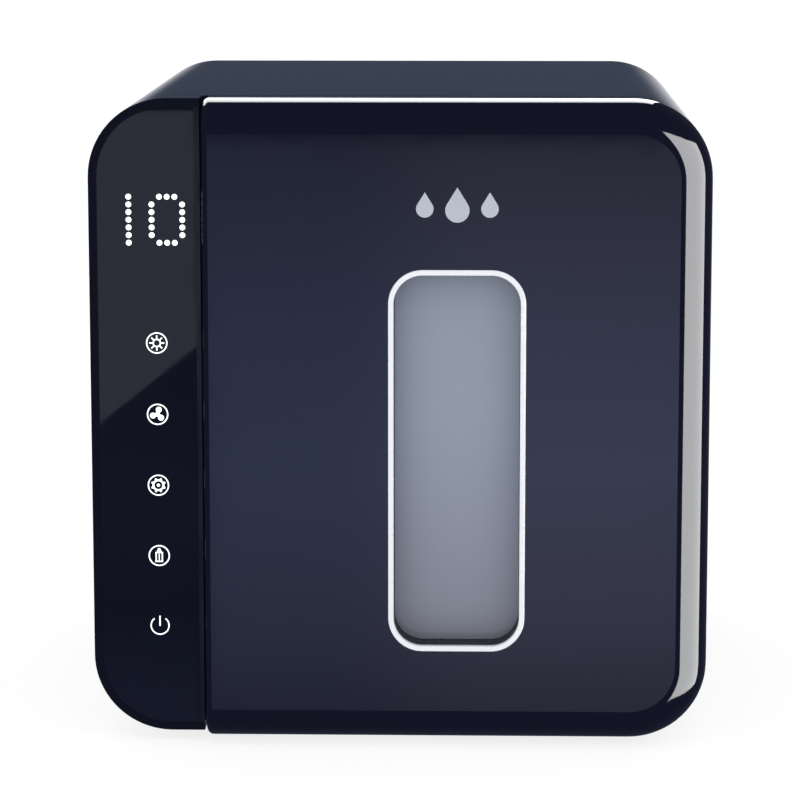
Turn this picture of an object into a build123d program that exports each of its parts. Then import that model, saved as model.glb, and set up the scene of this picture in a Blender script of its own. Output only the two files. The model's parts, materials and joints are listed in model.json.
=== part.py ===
from build123d import *
import math
import os

# Counter-top ultraviolet bottle sterilizer and dryer: a deep rounded cabinet with a touch panel down its
# left side and a thick side-hinged door with a tall window. Behind the door is a steel-lined chamber with a
# bottle rack, a drip tray and two germicidal lamps. A fan at the back blows filtered, heated air through it.
#
# Row frame, in millimetres: +Z up, the door faces -Y and +X is to the right of somebody facing the door.
# The origin is on the supporting surface, under the middle of the object.

# ---------------------------------------------------------------- overall sizes
WIDTH = 300.0              # casing, X
CASING_HEIGHT = 311.0      # casing without its feet, Z
DEPTH = 325.0              # front of the window trim to the rear cover, Y
FOOT_HEIGHT = 5.0
CORNER_R = 38.0            # corners of the casing and of the door, seen from the front
CASING_WALL = 2.8

# ---------------------------------------------------------------- named clearances
SEAT_GAP = 0.15            # between pieces that are fixed to one another
SLIDE_GAP = 0.5            # round a piece that is pulled out by hand
PIN_CLEARANCE = 0.05       # radial, a pin that turns in a bore
SCREW_CLEARANCE = 0.05     # radial, a screw in the piece that it holds
SEAL_AIR = 0.3             # the closed door to the seal's lip

# ---------------------------------------------------------------- door
DOOR_THICKNESS = 30.0
DOOR_WALL = 2.5
DOOR_DROP = 2.0            # how far the door reaches below the casing
DOOR_EDGE_R = 16.0         # round front edge, along the top, right and bottom
DOOR_GRIP_R = 3.0          # small round on the free edge, where fingers pull
DOOR_SIDE_GAP = 1.5        # to the control housing
DOOR_HEEL_R = 6.5          # rear corner that swings past the bezel
SEAL_GAP = 2.0             # closed door to bezel
TRIM_PROUD = 0.6           # window trim in front of the door's face

WINDOW_WIDTH = 66.0        # over the bright trim
WINDOW_UNDER_TOP = 80.7    # casing's top to the trim
WINDOW_OVER_BASE = 43.9    # casing's underside to the trim
WINDOW_R = 16.5
TRIM_WIDTH = 2.6
TRIM_DEPTH = 3.0
WINDOW_RECESS = 15.0       # front of the trim to the front pane
PANE = 3.0
TUNNEL_WALL = 2.0
TUNNEL_FREE = 0.4          # more than the seat's gap, behind the cover's wall
PANE_LEDGE = 2.5           # how far a pane laps its ledge

BADGE_UNDER_TOP = 49.5     # casing's top to the badge's middle
BADGE_THICKNESS = 0.5
BADGE_PITCH = 15.5         # between the badge's three drops
BADGE_DROP_R = 5.8
BADGE_SIDE_SHARE = 0.72    # outer drops to the middle one

# ---------------------------------------------------------------- control panel
PANEL_WIDTH = 54.0
PANEL_SETBACK = 13.0       # the panel's face behind the door's envelope
PANEL_WALL = 2.5
PANEL_BEVEL = 4.2          # width of the bevel round the panel's front
PANEL_BEVEL_DEPTH = 1.6
LENS_THICKNESS = 2.0
LENS_INSET = 4.4
LENS_R_RIGHT = 1.5
TOUCH_X = 32.5             # from the casing's left side to the row of touch keys
TOUCH_KEYS = 5
TOUCH_OVER_BASE = 53.0     # casing's underside to the lowest key
TOUCH_UNDER_DISPLAY = 48.7 # display's lowest row to the highest key
TOUCH_PAD_R = 5.3
LED_PITCH = 3.7
LED_R = 1.5
LED_COLUMNS = (0, 3, 4, 5, 6, 7)   # of the matrix, in pitches from its left column
LED_ROWS = 7
LED_X = 19.6               # casing's left side to the matrix's left column
LED_UNDER_TOP = 47.2       # casing's top to the matrix's highest row
BOARD = 1.6                # printed circuit board thickness

# ---------------------------------------------------------------- chamber
LEFT_BAY = 76.0            # casing's left side to the chamber opening
RIGHT_MARGIN = 26.0        # chamber opening to the casing's right side
TOP_MARGIN = 36.0
FLOOR_MARGIN = 33.0        # casing's underside to the opening
OPENING_R = 12.0
BEZEL = 3.0
LINER_WALL = 0.8
LINER_STEP = 1.0           # the liner stands this far outside the bezel's opening
LINER_FLANGE = 5.0
MACHINE_BAY = 74.5         # chamber's back wall to the outside of the rear cover
SEAL_WIDTH = 5.5
SEAL_OFFSET = 1.5          # opening's edge to the seal's groove
SEAL_GROOVE = 1.5

RACK_RISE = 120.0          # chamber opening's lower edge to the underside of the rack
RAIL_WIDTH = 8.0
RAIL_THICKNESS = 3.0
RACK_ROD_R = 2.0
RACK_WIRE_R = 1.25
RACK_FRONT_SPACE = 16.0    # opening plane to the rack and the tray
RACK_REAR_SPACE = 20.1     # rack to the chamber's back wall
RACK_CORNER_R = 14.0
WIRE_PITCH = 15.0
TRAY_HEIGHT = 34.0
TRAY_WALL = 2.0
TRAY_LIFT = 5.0            # tray floor above the chamber floor
TRAY_REAR_SPACE = 22.1     # tray to the chamber's back wall
SLOT_WIDTH = 3.0

LAMP_R = 8.0
LAMP_CAP_LENGTH = 10.0
SOCKET_WIDTH = 12.0
SOCKET_FLOOR = 4.0         # behind the end of a lamp's cap
LAMP_UNDER_CEILING = 17.0
LAMP_OFF_WALL = 17.0
UPPER_LAMP_BACK = 136.9    # bezel to the upper lamp
LAMP_SHELL = 2.0           # holder round a lamp's cap
GUARD_WIRE_R = 1.0
GUARD_SPACE = 4.0          # lamp to the middle of its guard's wires
LAMP_OVER_TRAY = 3.0       # lower lamp's guard to the tray's rim

# ---------------------------------------------------------------- hinge
HINGE_INSET = 8.0          # casing's right side to the hinge axis
HINGE_BACK = 12.0          # bezel to the hinge axis
HINGE_PIN_R = 2.0
HINGE_EYE_R = 4.0
HINGE_BOSS_R = 4.8
HINGE_ARM = 5.0            # arm thickness along Z
HINGE_ARM_WIDTH = 6.0
HINGE_PIN_LENGTH = 26.0
HINGE_OVER_CORNER = 16.0   # ends of the door's corners to the hinges
HINGE_PLATE = 2.0

# ---------------------------------------------------------------- air path
AIR_RISE = 11.0            # chamber's middle to the fan's axis
FAN_SIZE = 80.0
FAN_DEPTH = 25.0
FAN_RIM = 2.0              # fan's side to its bore
FAN_TIP_GAP = 1.2
FAN_HUB_R = 16.0
FAN_BLADES = 7
FAN_SHAFT_R = 1.5
FAN_HOLE_INSET = 4.25      # fan's sides to its fixing holes
HEATER_DEPTH = 16.0
HEATER_FINS = 13
BULKHEAD = 2.5
FILTER_SIZE = 96.0
FILTER_DEPTH = 14.0
DUCT_WALL = 2.0
DUCT_FLOOR = 4.5
COVER_RIM = 8.0            # how far the filter's cover reaches past the filter
COVER_R = 8.0
REAR_WALL = 3.5
REAR_CAP = 12.0
REAR_EDGE_R = 5.0

# ---------------------------------------------------------------- places that follow from the sizes
X_LEFT = -WIDTH / 2
X_RIGHT = WIDTH / 2
Z_BASE = FOOT_HEIGHT
Z_TOP = FOOT_HEIGHT + CASING_HEIGHT
Y_FRONT = -DEPTH / 2
Y_REAR = DEPTH / 2
Y_DOOR_FACE = Y_FRONT + TRIM_PROUD
Y_DOOR_BACK = Y_DOOR_FACE + DOOR_THICKNESS
Y_BEZEL = Y_DOOR_BACK + SEAL_GAP
Y_BEZEL_BACK = Y_BEZEL + BEZEL
Y_PANEL = Y_FRONT + PANEL_SETBACK
Y_SEAM = Y_REAR - REAR_CAP
Y_REAR_INNER = Y_REAR - REAR_WALL

X_PANEL = X_LEFT + PANEL_WIDTH
X_DOOR = X_PANEL + DOOR_SIDE_GAP
X_WINDOW = (X_DOOR + X_RIGHT) / 2
Z_DOOR = Z_BASE - DOOR_DROP

X_OPEN_L = X_LEFT + LEFT_BAY
X_OPEN_R = X_RIGHT - RIGHT_MARGIN
Z_OPEN_B = Z_BASE + FLOOR_MARGIN
Z_OPEN_T = Z_TOP - TOP_MARGIN
X_CHAMBER = (X_OPEN_L + X_OPEN_R) / 2
AIR_Z = (Z_OPEN_B + Z_OPEN_T) / 2 + AIR_RISE
RACK_Z = Z_OPEN_B + RACK_RISE
COVER_SIZE = FILTER_SIZE + 2 * COVER_RIM
FAN_BORE_R = FAN_SIZE / 2 - FAN_RIM
Y_LINER_BACK = Y_REAR - MACHINE_BAY
Y_SHELF = Y_BEZEL_BACK + RACK_FRONT_SPACE
Y_RACK_END = Y_LINER_BACK - LINER_WALL - RACK_REAR_SPACE
Y_TRAY_END = Y_LINER_BACK - LINER_WALL - TRAY_REAR_SPACE
X_LINER_L = X_OPEN_L - LINER_STEP
X_LINER_R = X_OPEN_R + LINER_STEP
Z_LINER_B = Z_OPEN_B - LINER_STEP
Z_LINER_T = Z_OPEN_T + LINER_STEP

X_HINGE = X_RIGHT - HINGE_INSET
Y_HINGE = Y_BEZEL - HINGE_BACK
Z_MIDDLE = (Z_DOOR + Z_TOP) / 2
HINGE_HEIGHTS = (Z_DOOR + CORNER_R + HINGE_OVER_CORNER, Z_TOP - CORNER_R - HINGE_OVER_CORNER)

WINDOW_HEIGHT = CASING_HEIGHT - WINDOW_UNDER_TOP - WINDOW_OVER_BASE
WINDOW_CENTRE_Z = Z_BASE + WINDOW_OVER_BASE + WINDOW_HEIGHT / 2
Y_PANE_BACK = Y_FRONT + WINDOW_RECESS + PANE
Y_INNER_PANE = Y_DOOR_BACK - PANE

X_LATCH = (X_DOOR + X_OPEN_L - SEAL_OFFSET - SEAL_WIDTH) / 2
MAGNET_WIDTH = 6.0
MAGNET_DEPTH = 2.2
MAGNET_LENGTH = 24.0
MAGNET_SPREAD = 50.0       # magnets above and below the door's middle
MAGNET_HEIGHTS = (Z_MIDDLE - MAGNET_SPREAD, Z_MIDDLE + MAGNET_SPREAD)
STRIKE_THICKNESS = 1.0
Z_SWITCH = Z_MIDDLE
PLUNGER_R = 2.5
PLUNGER_FLANGE_R = 3.6


# ---------------------------------------------------------------- helpers
def slab(sketch, y_front, y_back):
    """Prism of a sketch drawn in X and Z, filled between two depths."""
    return extrude(Plane.XZ.offset(-y_back) * sketch, y_back - y_front)


def outline(x0, x1, z0, z1, r_left=0.0, r_right=0.0):
    """Rectangle in X and Z with one radius on its left corners and another on its right ones."""
    shape = Pos((x0 + x1) / 2, (z0 + z1) / 2) * Rectangle(x1 - x0, z1 - z0)
    if r_left > 0:
        shape = fillet(shape.vertices().sort_by(Axis.X)[:2], r_left)
    if r_right > 0:
        shape = fillet(shape.vertices().sort_by(Axis.X)[-2:], r_right)
    return shape


def rounded(cx, cz, width, height, radius):
    """Rounded rectangle in X and Z about a centre."""
    return Pos(cx, cz) * RectangleRounded(width, height, radius)


def block(x0, x1, y0, y1, z0, z1):
    """Plain box between two corners."""
    return Pos((x0 + x1) / 2, (y0 + y1) / 2, (z0 + z1) / 2) * Box(x1 - x0, y1 - y0, z1 - z0)


def disc_y(x, z, radius, y0, y1):
    """Cylinder along Y."""
    return Pos(x, (y0 + y1) / 2, z) * Rot(90, 0, 0) * Cylinder(radius, y1 - y0)


def disc_x(y, z, radius, x0, x1):
    """Cylinder along X."""
    return Pos((x0 + x1) / 2, y, z) * Rot(0, 90, 0) * Cylinder(radius, x1 - x0)


def disc_z(x, y, radius, z0, z1):
    """Cylinder along Z."""
    return Pos(x, y, (z0 + z1) / 2) * Cylinder(radius, z1 - z0)


def spread(low, high, count):
    """Evenly spaced values from low to high."""
    return [low + (high - low) * i / (count - 1) for i in range(count)]


def join(pieces):
    """One shape from touching pieces."""
    pieces = list(pieces)
    return pieces[0].fuse(*pieces[1:]) if len(pieces) > 1 else pieces[0]


def group(pieces):
    """Separate solids kept in one node."""
    return Compound(children=[s for piece in pieces for s in piece.solids()])


def pan_screw(x, z, y_seat, direction, length, shank_r, head_r, head_height):
    """Screw along Y: its head's seat is at y_seat and its shank runs towards direction (+1 or -1)."""
    y_head = y_seat - direction * head_height
    y_tip = y_seat + direction * length
    head = disc_y(x, z, head_r, min(y_seat, y_head), max(y_seat, y_head))
    shank = disc_y(x, z, shank_r, min(y_seat, y_tip), max(y_seat, y_tip))
    drive = disc_y(x, z, shank_r * 0.75, min(y_head, y_head + direction * head_height * 0.55),
                   max(y_head, y_head + direction * head_height * 0.55))
    return join([head, shank]) - drive


# ---------------------------------------------------------------- casing
SCREW_R = 1.5
SCREW_HEAD_R = 3.0
SCREW_HEAD = 2.2
REAR_SCREW_LENGTH = 16.0
HEAD_ROOM = 0.4            # round a screw's head in its counterbore
SCREW_PASS = 0.2           # radial, a screw through a clearance hole
BOSS_R = 7.0
BOSS_TIP = 2.0             # boss past the end of its screw
BOSS_SHELF = 0.6           # between a screw head's counterbore and the rounded rear edge
CASING_FRONT_R = 0.8
HEAD_DEPTH = 5.0           # rear face to the seats of the rear screws' heads
REAR_LIP = 6.0
REAR_LIP_WALL = 2.0


def casing_outline(inset):
    """Cabinet section, seen from the front."""
    radius = CORNER_R - inset
    return outline(X_LEFT + inset, X_RIGHT - inset, Z_BASE + inset, Z_TOP - inset, radius, radius)


def corner_points(reach):
    """Four points on the corners' diagonals, at a distance from the corner arcs' centres."""
    step = reach / math.sqrt(2)
    for sx in (-1, 1):
        for z_arc, sz in ((Z_BASE + CORNER_R, -1), (Z_TOP - CORNER_R, 1)):
            yield sx * (X_RIGHT - CORNER_R + step), z_arc + sz * step


BOSS_POINTS = list(corner_points(CORNER_R - REAR_EDGE_R - SCREW_HEAD_R - HEAD_ROOM - BOSS_SHELF))
BOSS_LENGTH = REAR_SCREW_LENGTH + BOSS_TIP
FOOT_R = 11.0
FOOT_CHAMFER = 1.0
FOOT_INSIDE_CORNER = 8.0   # ends of the casing's corners to the feet's middles
FOOT_END = 27.6            # casing's front and rear to the feet's middles
FOOT_PIN_R = 2.0
FOOT_PIN = 6.0
FOOT_POINTS = [(side * (X_RIGHT - CORNER_R - FOOT_INSIDE_CORNER), y) for side in (-1, 1)
               for y in (Y_BEZEL + FOOT_END, Y_SEAM - FOOT_END)]
EXHAUST_SLOTS = 9
EXHAUST_LENGTH = 60.0
EXHAUST_PITCH = 9.0


def make_outer_casing():
    """Sleeve that wraps the cabinet, with bosses for the rear cover and exhaust slots underneath."""
    sleeve = slab(casing_outline(0), Y_BEZEL, Y_SEAM) - slab(casing_outline(CASING_WALL), Y_BEZEL, Y_SEAM)
    edge = sleeve.faces().sort_by(Axis.Y)[0].outer_wire().edges()
    sleeve = fillet(edge, CASING_FRONT_R)
    inside = slab(casing_outline(CASING_WALL / 2), Y_BEZEL, Y_SEAM)
    for x, z in BOSS_POINTS:
        y_end = Y_SEAM - REAR_LIP - SEAT_GAP
        post = disc_y(x, z, BOSS_R, y_end - BOSS_LENGTH, y_end) & inside
        sleeve = sleeve + post
        sleeve = sleeve - disc_y(x, z, SCREW_R + SCREW_CLEARANCE, y_end - REAR_SCREW_LENGTH, y_end)
    for x, y in FOOT_POINTS:
        sleeve = sleeve - disc_z(x, y, FOOT_PIN_R + SCREW_CLEARANCE, Z_BASE, Z_BASE + CASING_WALL)
    half = EXHAUST_PITCH * (EXHAUST_SLOTS - 1) / 2
    for x in spread(X_CHAMBER - half, X_CHAMBER + half, EXHAUST_SLOTS):
        cut = Pos(x, 0, Z_BASE) * SlotOverall(EXHAUST_LENGTH, SLOT_WIDTH, rotation=90)
        sleeve = sleeve - extrude(cut, CASING_WALL)
    return sleeve


COVER_LOUVRES = 11
LOUVRE_PITCH = 7.0
INLET_X = X_LEFT + 42.0
INLET_Z = Z_BASE + 46.0
INLET_W = 27.0
INLET_H = 20.0
INLET_R = 2.8
INLET_FLANGE_W = 46.0
INLET_FLANGE_H = 24.0
INLET_FLANGE_R = 3.8
INLET_FLANGE = 1.5
INLET_SCREW_SPACING = 38.0
INLET_DEPTH = 22.0
REAR_VENTS = 10
REAR_VENT_LENGTH = 44.0
REAR_VENT_SPREAD = 45.0    # highest and lowest vent from the fan's axis


def make_rear_cover():
    """Cap that closes the back, with the filter door's opening, the mains inlet's cut-out and louvres."""
    cap = slab(casing_outline(0), Y_SEAM, Y_REAR)
    cap = fillet(cap.faces().sort_by(Axis.Y)[-1].outer_wire().edges(), REAR_EDGE_R)
    cap = cap - slab(casing_outline(CASING_WALL + REAR_EDGE_R / 3), Y_SEAM, Y_REAR_INNER)
    lip_out = CASING_WALL + SEAT_GAP
    lip_end = Y_SEAM + 1
    lip = slab(casing_outline(lip_out), Y_SEAM - REAR_LIP, lip_end)
    lip = lip - slab(casing_outline(lip_out + REAR_LIP_WALL), Y_SEAM - REAR_LIP, lip_end)
    cap = cap + lip
    for x, z in BOSS_POINTS:
        post = disc_y(x, z, BOSS_R, Y_SEAM - REAR_LIP, Y_REAR_INNER)
        post = post & slab(casing_outline(lip_out), Y_SEAM - REAR_LIP, Y_REAR)
        cap = cap + post
        cap = cap - disc_y(x, z, SCREW_R + SCREW_PASS, Y_SEAM - REAR_LIP, Y_REAR)
        cap = cap - disc_y(x, z, SCREW_HEAD_R + HEAD_ROOM, Y_REAR - HEAD_DEPTH, Y_REAR)
    size = COVER_SIZE + 2 * SLIDE_GAP
    opening = rounded(X_CHAMBER, AIR_Z, size, size, COVER_R + SLIDE_GAP)
    cap = cap - slab(opening, Y_REAR_INNER - 1, Y_REAR)
    hole = rounded(INLET_X, INLET_Z, INLET_W + 2 * SEAT_GAP, INLET_H + 2 * SEAT_GAP, INLET_R + SEAT_GAP)
    cap = cap - slab(hole, Y_SEAM, Y_REAR)
    pocket = rounded(INLET_X, INLET_Z, INLET_FLANGE_W + 2 * SEAT_GAP, INLET_FLANGE_H + 2 * SEAT_GAP,
                     INLET_FLANGE_R + SEAT_GAP)
    cap = cap - slab(pocket, Y_REAR - INLET_FLANGE, Y_REAR)
    for side in (-1, 1):
        x = INLET_X + side * INLET_SCREW_SPACING / 2
        cap = cap - disc_y(x, INLET_Z, SCREW_R + SCREW_CLEARANCE, Y_REAR_INNER - 1, Y_REAR)
    for z in spread(AIR_Z - REAR_VENT_SPREAD, AIR_Z + REAR_VENT_SPREAD, REAR_VENTS):
        cut = Pos(INLET_X, z) * SlotOverall(REAR_VENT_LENGTH, SLOT_WIDTH)
        cap = cap - slab(cut, Y_REAR_INNER - 1, Y_REAR)
    return cap


def make_feet():
    """Rubber feet, each with a stem through the casing."""
    feet = []
    for x, y in FOOT_POINTS:
        pad = disc_z(x, y, FOOT_R, 0, Z_BASE)
        pad = chamfer(pad.edges().filter_by(GeomType.CIRCLE).sort_by(Axis.Z)[0], FOOT_CHAMFER)
        feet.append(pad + disc_z(x, y, FOOT_PIN_R, Z_BASE - 1, Z_BASE + FOOT_PIN))
    return group(feet)


def make_rear_screws():
    """Four screws that hold the rear cover."""
    y = Y_REAR - HEAD_DEPTH
    return group(pan_screw(x, z, y, -1, REAR_SCREW_LENGTH, SCREW_R, SCREW_HEAD_R, SCREW_HEAD)
                 for x, z in BOSS_POINTS)


# ---------------------------------------------------------------- front bezel, seal, latch
HINGE_SCREW_OFFSET = 11.0
HINGE_SCREW_HEAD = 1.4
BEZEL_SINK = 1.5           # depth of the hinge screws' heads in the bezel
BEZEL_PASS_WIDTH = 20.0    # opening behind the touch panel, for its wires
BEZEL_PASS_MARGIN = 56.5   # casing's top to that opening
BEZEL_PASS_R = 6.0
SEAL_LIP_INSET = 1.2       # seal's foot to its lip, on both sides
PLUNGER_ROOM = 0.3         # radial, round the plunger and its flange


def opening_outline(grow):
    """Chamber opening, larger or smaller all round."""
    return outline(X_OPEN_L - grow, X_OPEN_R + grow, Z_OPEN_B - grow, Z_OPEN_T + grow,
                   OPENING_R + grow, OPENING_R + grow)


def latch_blocks(y0, y1, grow):
    """Upright blocks at the two latch places, larger all round by grow."""
    half_w = MAGNET_WIDTH / 2 + grow
    half_h = MAGNET_LENGTH / 2 + grow
    return [block(X_LATCH - half_w, X_LATCH + half_w, y0, y1, z - half_h, z + half_h)
            for z in MAGNET_HEIGHTS]


def make_front_bezel():
    """Plate round the chamber's mouth that carries the seal, magnets, switch and hinges."""
    plate = slab(casing_outline(CASING_WALL + SEAT_GAP), Y_BEZEL, Y_BEZEL_BACK)
    plate = plate - slab(opening_outline(0), Y_BEZEL, Y_BEZEL_BACK)
    groove = slab(opening_outline(SEAL_OFFSET + SEAL_WIDTH), Y_BEZEL, Y_BEZEL + SEAL_GROOVE)
    groove = groove - slab(opening_outline(SEAL_OFFSET), Y_BEZEL, Y_BEZEL + SEAL_GROOVE)
    plate = plate - groove
    for pocket in latch_blocks(Y_BEZEL, Y_BEZEL + MAGNET_DEPTH, SEAT_GAP):
        plate = plate - pocket
    plate = plate - disc_y(X_LATCH, Z_SWITCH, PLUNGER_R + PLUNGER_ROOM, Y_BEZEL, Y_BEZEL_BACK)
    for z in HINGE_HEIGHTS:
        half_w = HINGE_ARM_WIDTH / 2 + SEAT_GAP
        half_h = HINGE_ARM / 2 + SEAT_GAP
        x0, x1 = X_HINGE - half_w, X_HINGE + half_w
        plate = plate - block(x0, x1, Y_BEZEL, Y_BEZEL_BACK, z - half_h, z + half_h)
        for side in (-1, 1):
            zs = z + side * HINGE_SCREW_OFFSET
            plate = plate - disc_y(X_HINGE, zs, SCREW_R + SCREW_PASS, Y_BEZEL, Y_BEZEL_BACK)
            plate = plate - disc_y(X_HINGE, zs, SCREW_HEAD_R + SEAT_GAP, Y_BEZEL, Y_BEZEL + BEZEL_SINK)
    height = 2 * (Z_TOP - BEZEL_PASS_MARGIN - Z_MIDDLE)
    passage = rounded(X_LEFT + TOUCH_X, Z_MIDDLE, BEZEL_PASS_WIDTH, height, BEZEL_PASS_R)
    return plate - slab(passage, Y_BEZEL, Y_BEZEL_BACK)


def make_door_seal():
    """Silicone seal in the bezel's groove."""
    grow = SEAL_OFFSET + SEAT_GAP
    y_foot = Y_BEZEL + SEAL_GROOVE - SEAT_GAP
    foot = slab(opening_outline(SEAL_OFFSET + SEAL_WIDTH - SEAT_GAP), Y_BEZEL, y_foot)
    foot = foot - slab(opening_outline(grow), Y_BEZEL, y_foot)
    lip_front = Y_DOOR_BACK + SEAL_AIR
    lip = slab(opening_outline(SEAL_OFFSET + SEAL_WIDTH - SEAL_LIP_INSET), lip_front, Y_BEZEL)
    lip = lip - slab(opening_outline(SEAL_OFFSET + SEAL_LIP_INSET), lip_front, Y_BEZEL)
    return foot + lip


def make_latch_magnets():
    """Two flat magnets let into the bezel."""
    return group(latch_blocks(Y_BEZEL, Y_BEZEL + MAGNET_DEPTH - SEAT_GAP, 0))


SWITCH_DEPTH = 20.0
SWITCH_W = 12.0
SWITCH_H = 22.0
SWITCH_FLOOR = 3.0
TERMINAL_PITCH = 7.0
TERMINAL_WIDTH = 4.8
TERMINAL_LENGTH = 6.0
TERMINAL_THICKNESS = 0.8
PLUNGER_TRAVEL = 3.0
PLUNGER_FLANGE = 2.0
PLUNGER_TIP_R = 1.2
PLUNGER_PLAY = 0.5         # more than its travel, in front of the flange
SPRING_SEAT = 0.1          # free space at the spring's ends
SPRING_WIRE_R = 0.3
SPRING_R = 1.9
SPRING_TURNS = 6


def make_switch_body():
    """Housing of the door's safety switch, behind the bezel."""
    y0 = Y_BEZEL_BACK + SEAT_GAP
    y1 = y0 + SWITCH_DEPTH
    body = block(X_LATCH - SWITCH_W / 2, X_LATCH + SWITCH_W / 2, y0, y1, Z_SWITCH - SWITCH_H / 2,
                 Z_SWITCH + SWITCH_H / 2)
    body = body - disc_y(X_LATCH, Z_SWITCH, PLUNGER_FLANGE_R + PLUNGER_ROOM, y0, y1 - SWITCH_FLOOR)
    half_w = TERMINAL_WIDTH / 2
    half_t = TERMINAL_THICKNESS / 2
    x0, x1 = X_LATCH - half_w, X_LATCH + half_w
    terminals = [block(x0, x1, y1 - 0.5, y1 + TERMINAL_LENGTH, z - half_t, z + half_t)
                 for z in spread(Z_SWITCH - TERMINAL_PITCH, Z_SWITCH + TERMINAL_PITCH, 3)]
    return join([body, *terminals])


def make_switch_plunger():
    """Plunger that the closed door holds in."""
    tip = Y_DOOR_BACK + SEAL_AIR
    flange = Y_BEZEL_BACK + SEAT_GAP + PLUNGER_TRAVEL + PLUNGER_PLAY
    stem = disc_y(X_LATCH, Z_SWITCH, PLUNGER_R, tip, flange + PLUNGER_FLANGE)
    stem = fillet(stem.edges().filter_by(GeomType.CIRCLE).sort_by(Axis.Y)[0], PLUNGER_TIP_R)
    return stem + disc_y(X_LATCH, Z_SWITCH, PLUNGER_FLANGE_R, flange, flange + PLUNGER_FLANGE)


def make_switch_spring():
    """Coil that pushes the plunger out."""
    end_room = SPRING_WIRE_R + SPRING_SEAT
    start = Y_BEZEL_BACK + SEAT_GAP + PLUNGER_TRAVEL + PLUNGER_PLAY + PLUNGER_FLANGE + end_room
    end = Y_BEZEL_BACK + SEAT_GAP + SWITCH_DEPTH - SWITCH_FLOOR - end_room
    length = end - start
    coil = Helix(pitch=length / SPRING_TURNS, height=length, radius=SPRING_R)
    wire = sweep(Plane(origin=coil @ 0, z_dir=coil % 0) * Circle(SPRING_WIRE_R), path=coil)
    return Pos(X_LATCH, start, Z_SWITCH) * Rot(-90, 0, 0) * wire


# ---------------------------------------------------------------- hinges
HINGE_PLATE_LEFT = 6.0     # hinge axis to the plate's left side
HINGE_PLATE_GAP = 0.6      # plate to the casing's wall
HINGE_PLATE_END = 5.0      # screws to the plate's ends


def make_hinge_bracket(z):
    """Steel bracket behind the bezel whose arm carries the hinge pin."""
    y0 = Y_BEZEL_BACK + SEAT_GAP
    half_h = HINGE_SCREW_OFFSET + HINGE_PLATE_END
    plate = block(X_HINGE - HINGE_PLATE_LEFT, X_RIGHT - CASING_WALL - HINGE_PLATE_GAP, y0, y0 + HINGE_PLATE,
                  z - half_h, z + half_h)
    half_w = HINGE_ARM_WIDTH / 2
    z0, z1 = z - HINGE_ARM / 2, z + HINGE_ARM / 2
    arm = block(X_HINGE - half_w, X_HINGE + half_w, Y_HINGE, y0 + HINGE_PLATE, z0, z1)
    eye = disc_z(X_HINGE, Y_HINGE, HINGE_EYE_R, z0, z1)
    bracket = join([plate, arm, eye])
    bracket = bracket - disc_z(X_HINGE, Y_HINGE, HINGE_PIN_R, z - HINGE_ARM, z + HINGE_ARM)
    for side in (-1, 1):
        bracket = bracket - disc_y(X_HINGE, z + side * HINGE_SCREW_OFFSET, SCREW_R + SCREW_CLEARANCE, y0,
                                   y0 + HINGE_PLATE)
    return bracket


def make_hinge_pins():
    """Steel pins, pressed into the brackets' eyes."""
    half = HINGE_PIN_LENGTH / 2
    return group(disc_z(X_HINGE, Y_HINGE, HINGE_PIN_R, z - half, z + half) for z in HINGE_HEIGHTS)


def make_hinge_screws():
    """Four screws through the bezel into the brackets."""
    length = BEZEL + HINGE_PLATE + 1.0
    return group(pan_screw(X_HINGE, z + side * HINGE_SCREW_OFFSET, Y_BEZEL + BEZEL_SINK, 1, length,
                           SCREW_R, SCREW_HEAD_R, HINGE_SCREW_HEAD)
                 for z in HINGE_HEIGHTS for side in (-1, 1))


# ---------------------------------------------------------------- door
HEEL_PLATE_EDGE = 9.2      # inner panel's right edge, from the casing's right side
ARM_ROOM = 1.0             # round the hinge arm in the door
ARM_SWING_ROOM = 2.2       # in front of the hinge eye in the door
INNER_CORNER_R = 0.5
TRIM_CHAMFER = 0.3


def door_block(inset, y_back):
    """The door's outer form, or the form of its hollow when inset by the wall."""
    section = outline(X_DOOR + inset, X_RIGHT - inset, Z_DOOR + inset, Z_TOP - inset, 0, CORNER_R - inset)
    y_front = Y_DOOR_FACE + inset
    body = slab(section, y_front, y_back)
    front = body.faces().sort_by(Axis.Y)[0]
    left_edge = front.edges().sort_by(Axis.X)[0]
    chain = [e for e in front.edges() if e != left_edge]
    body = fillet(chain, DOOR_EDGE_R - inset)
    left_face = body.faces().filter_by(Axis.X).sort_by(Axis.X)[0]
    grip = [e for e in left_face.edges() if abs(e.center().Y - y_back) > 0.5]
    body = fillet(grip, max(DOOR_GRIP_R - inset, 0.5))
    heel_y = Y_DOOR_BACK - inset
    plan = Polyline((X_DOOR - 5, y_front - 5), (X_RIGHT - inset, y_front - 5), (X_RIGHT - inset, heel_y),
                    (X_DOOR - 5, heel_y), close=True)
    plan = make_face(plan)
    heel = plan.vertices().sort_by(Axis.X)[-2:].sort_by(Axis.Y)[-1]
    plan = fillet(heel, DOOR_HEEL_R - inset)
    return body & extrude(Pos(0, 0, Z_DOOR - 5) * plan, Z_TOP - Z_DOOR + 10)


def window_outline(grow):
    """Window shape, larger or smaller than the trim's outside."""
    width = WINDOW_WIDTH + 2 * grow
    return rounded(X_WINDOW, WINDOW_CENTRE_Z, width, WINDOW_HEIGHT + 2 * grow, WINDOW_R + grow)


def arm_slots():
    """Room in the door for the hinge arms over the whole swing."""
    room = HINGE_ARM / 2 + ARM_ROOM
    x0 = X_HINGE - HINGE_EYE_R - ARM_ROOM
    y0 = Y_HINGE - HINGE_EYE_R - ARM_SWING_ROOM
    return [block(x0, X_RIGHT + 1, y0, Y_DOOR_BACK + 1, z - room, z + room) for z in HINGE_HEIGHTS]


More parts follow.
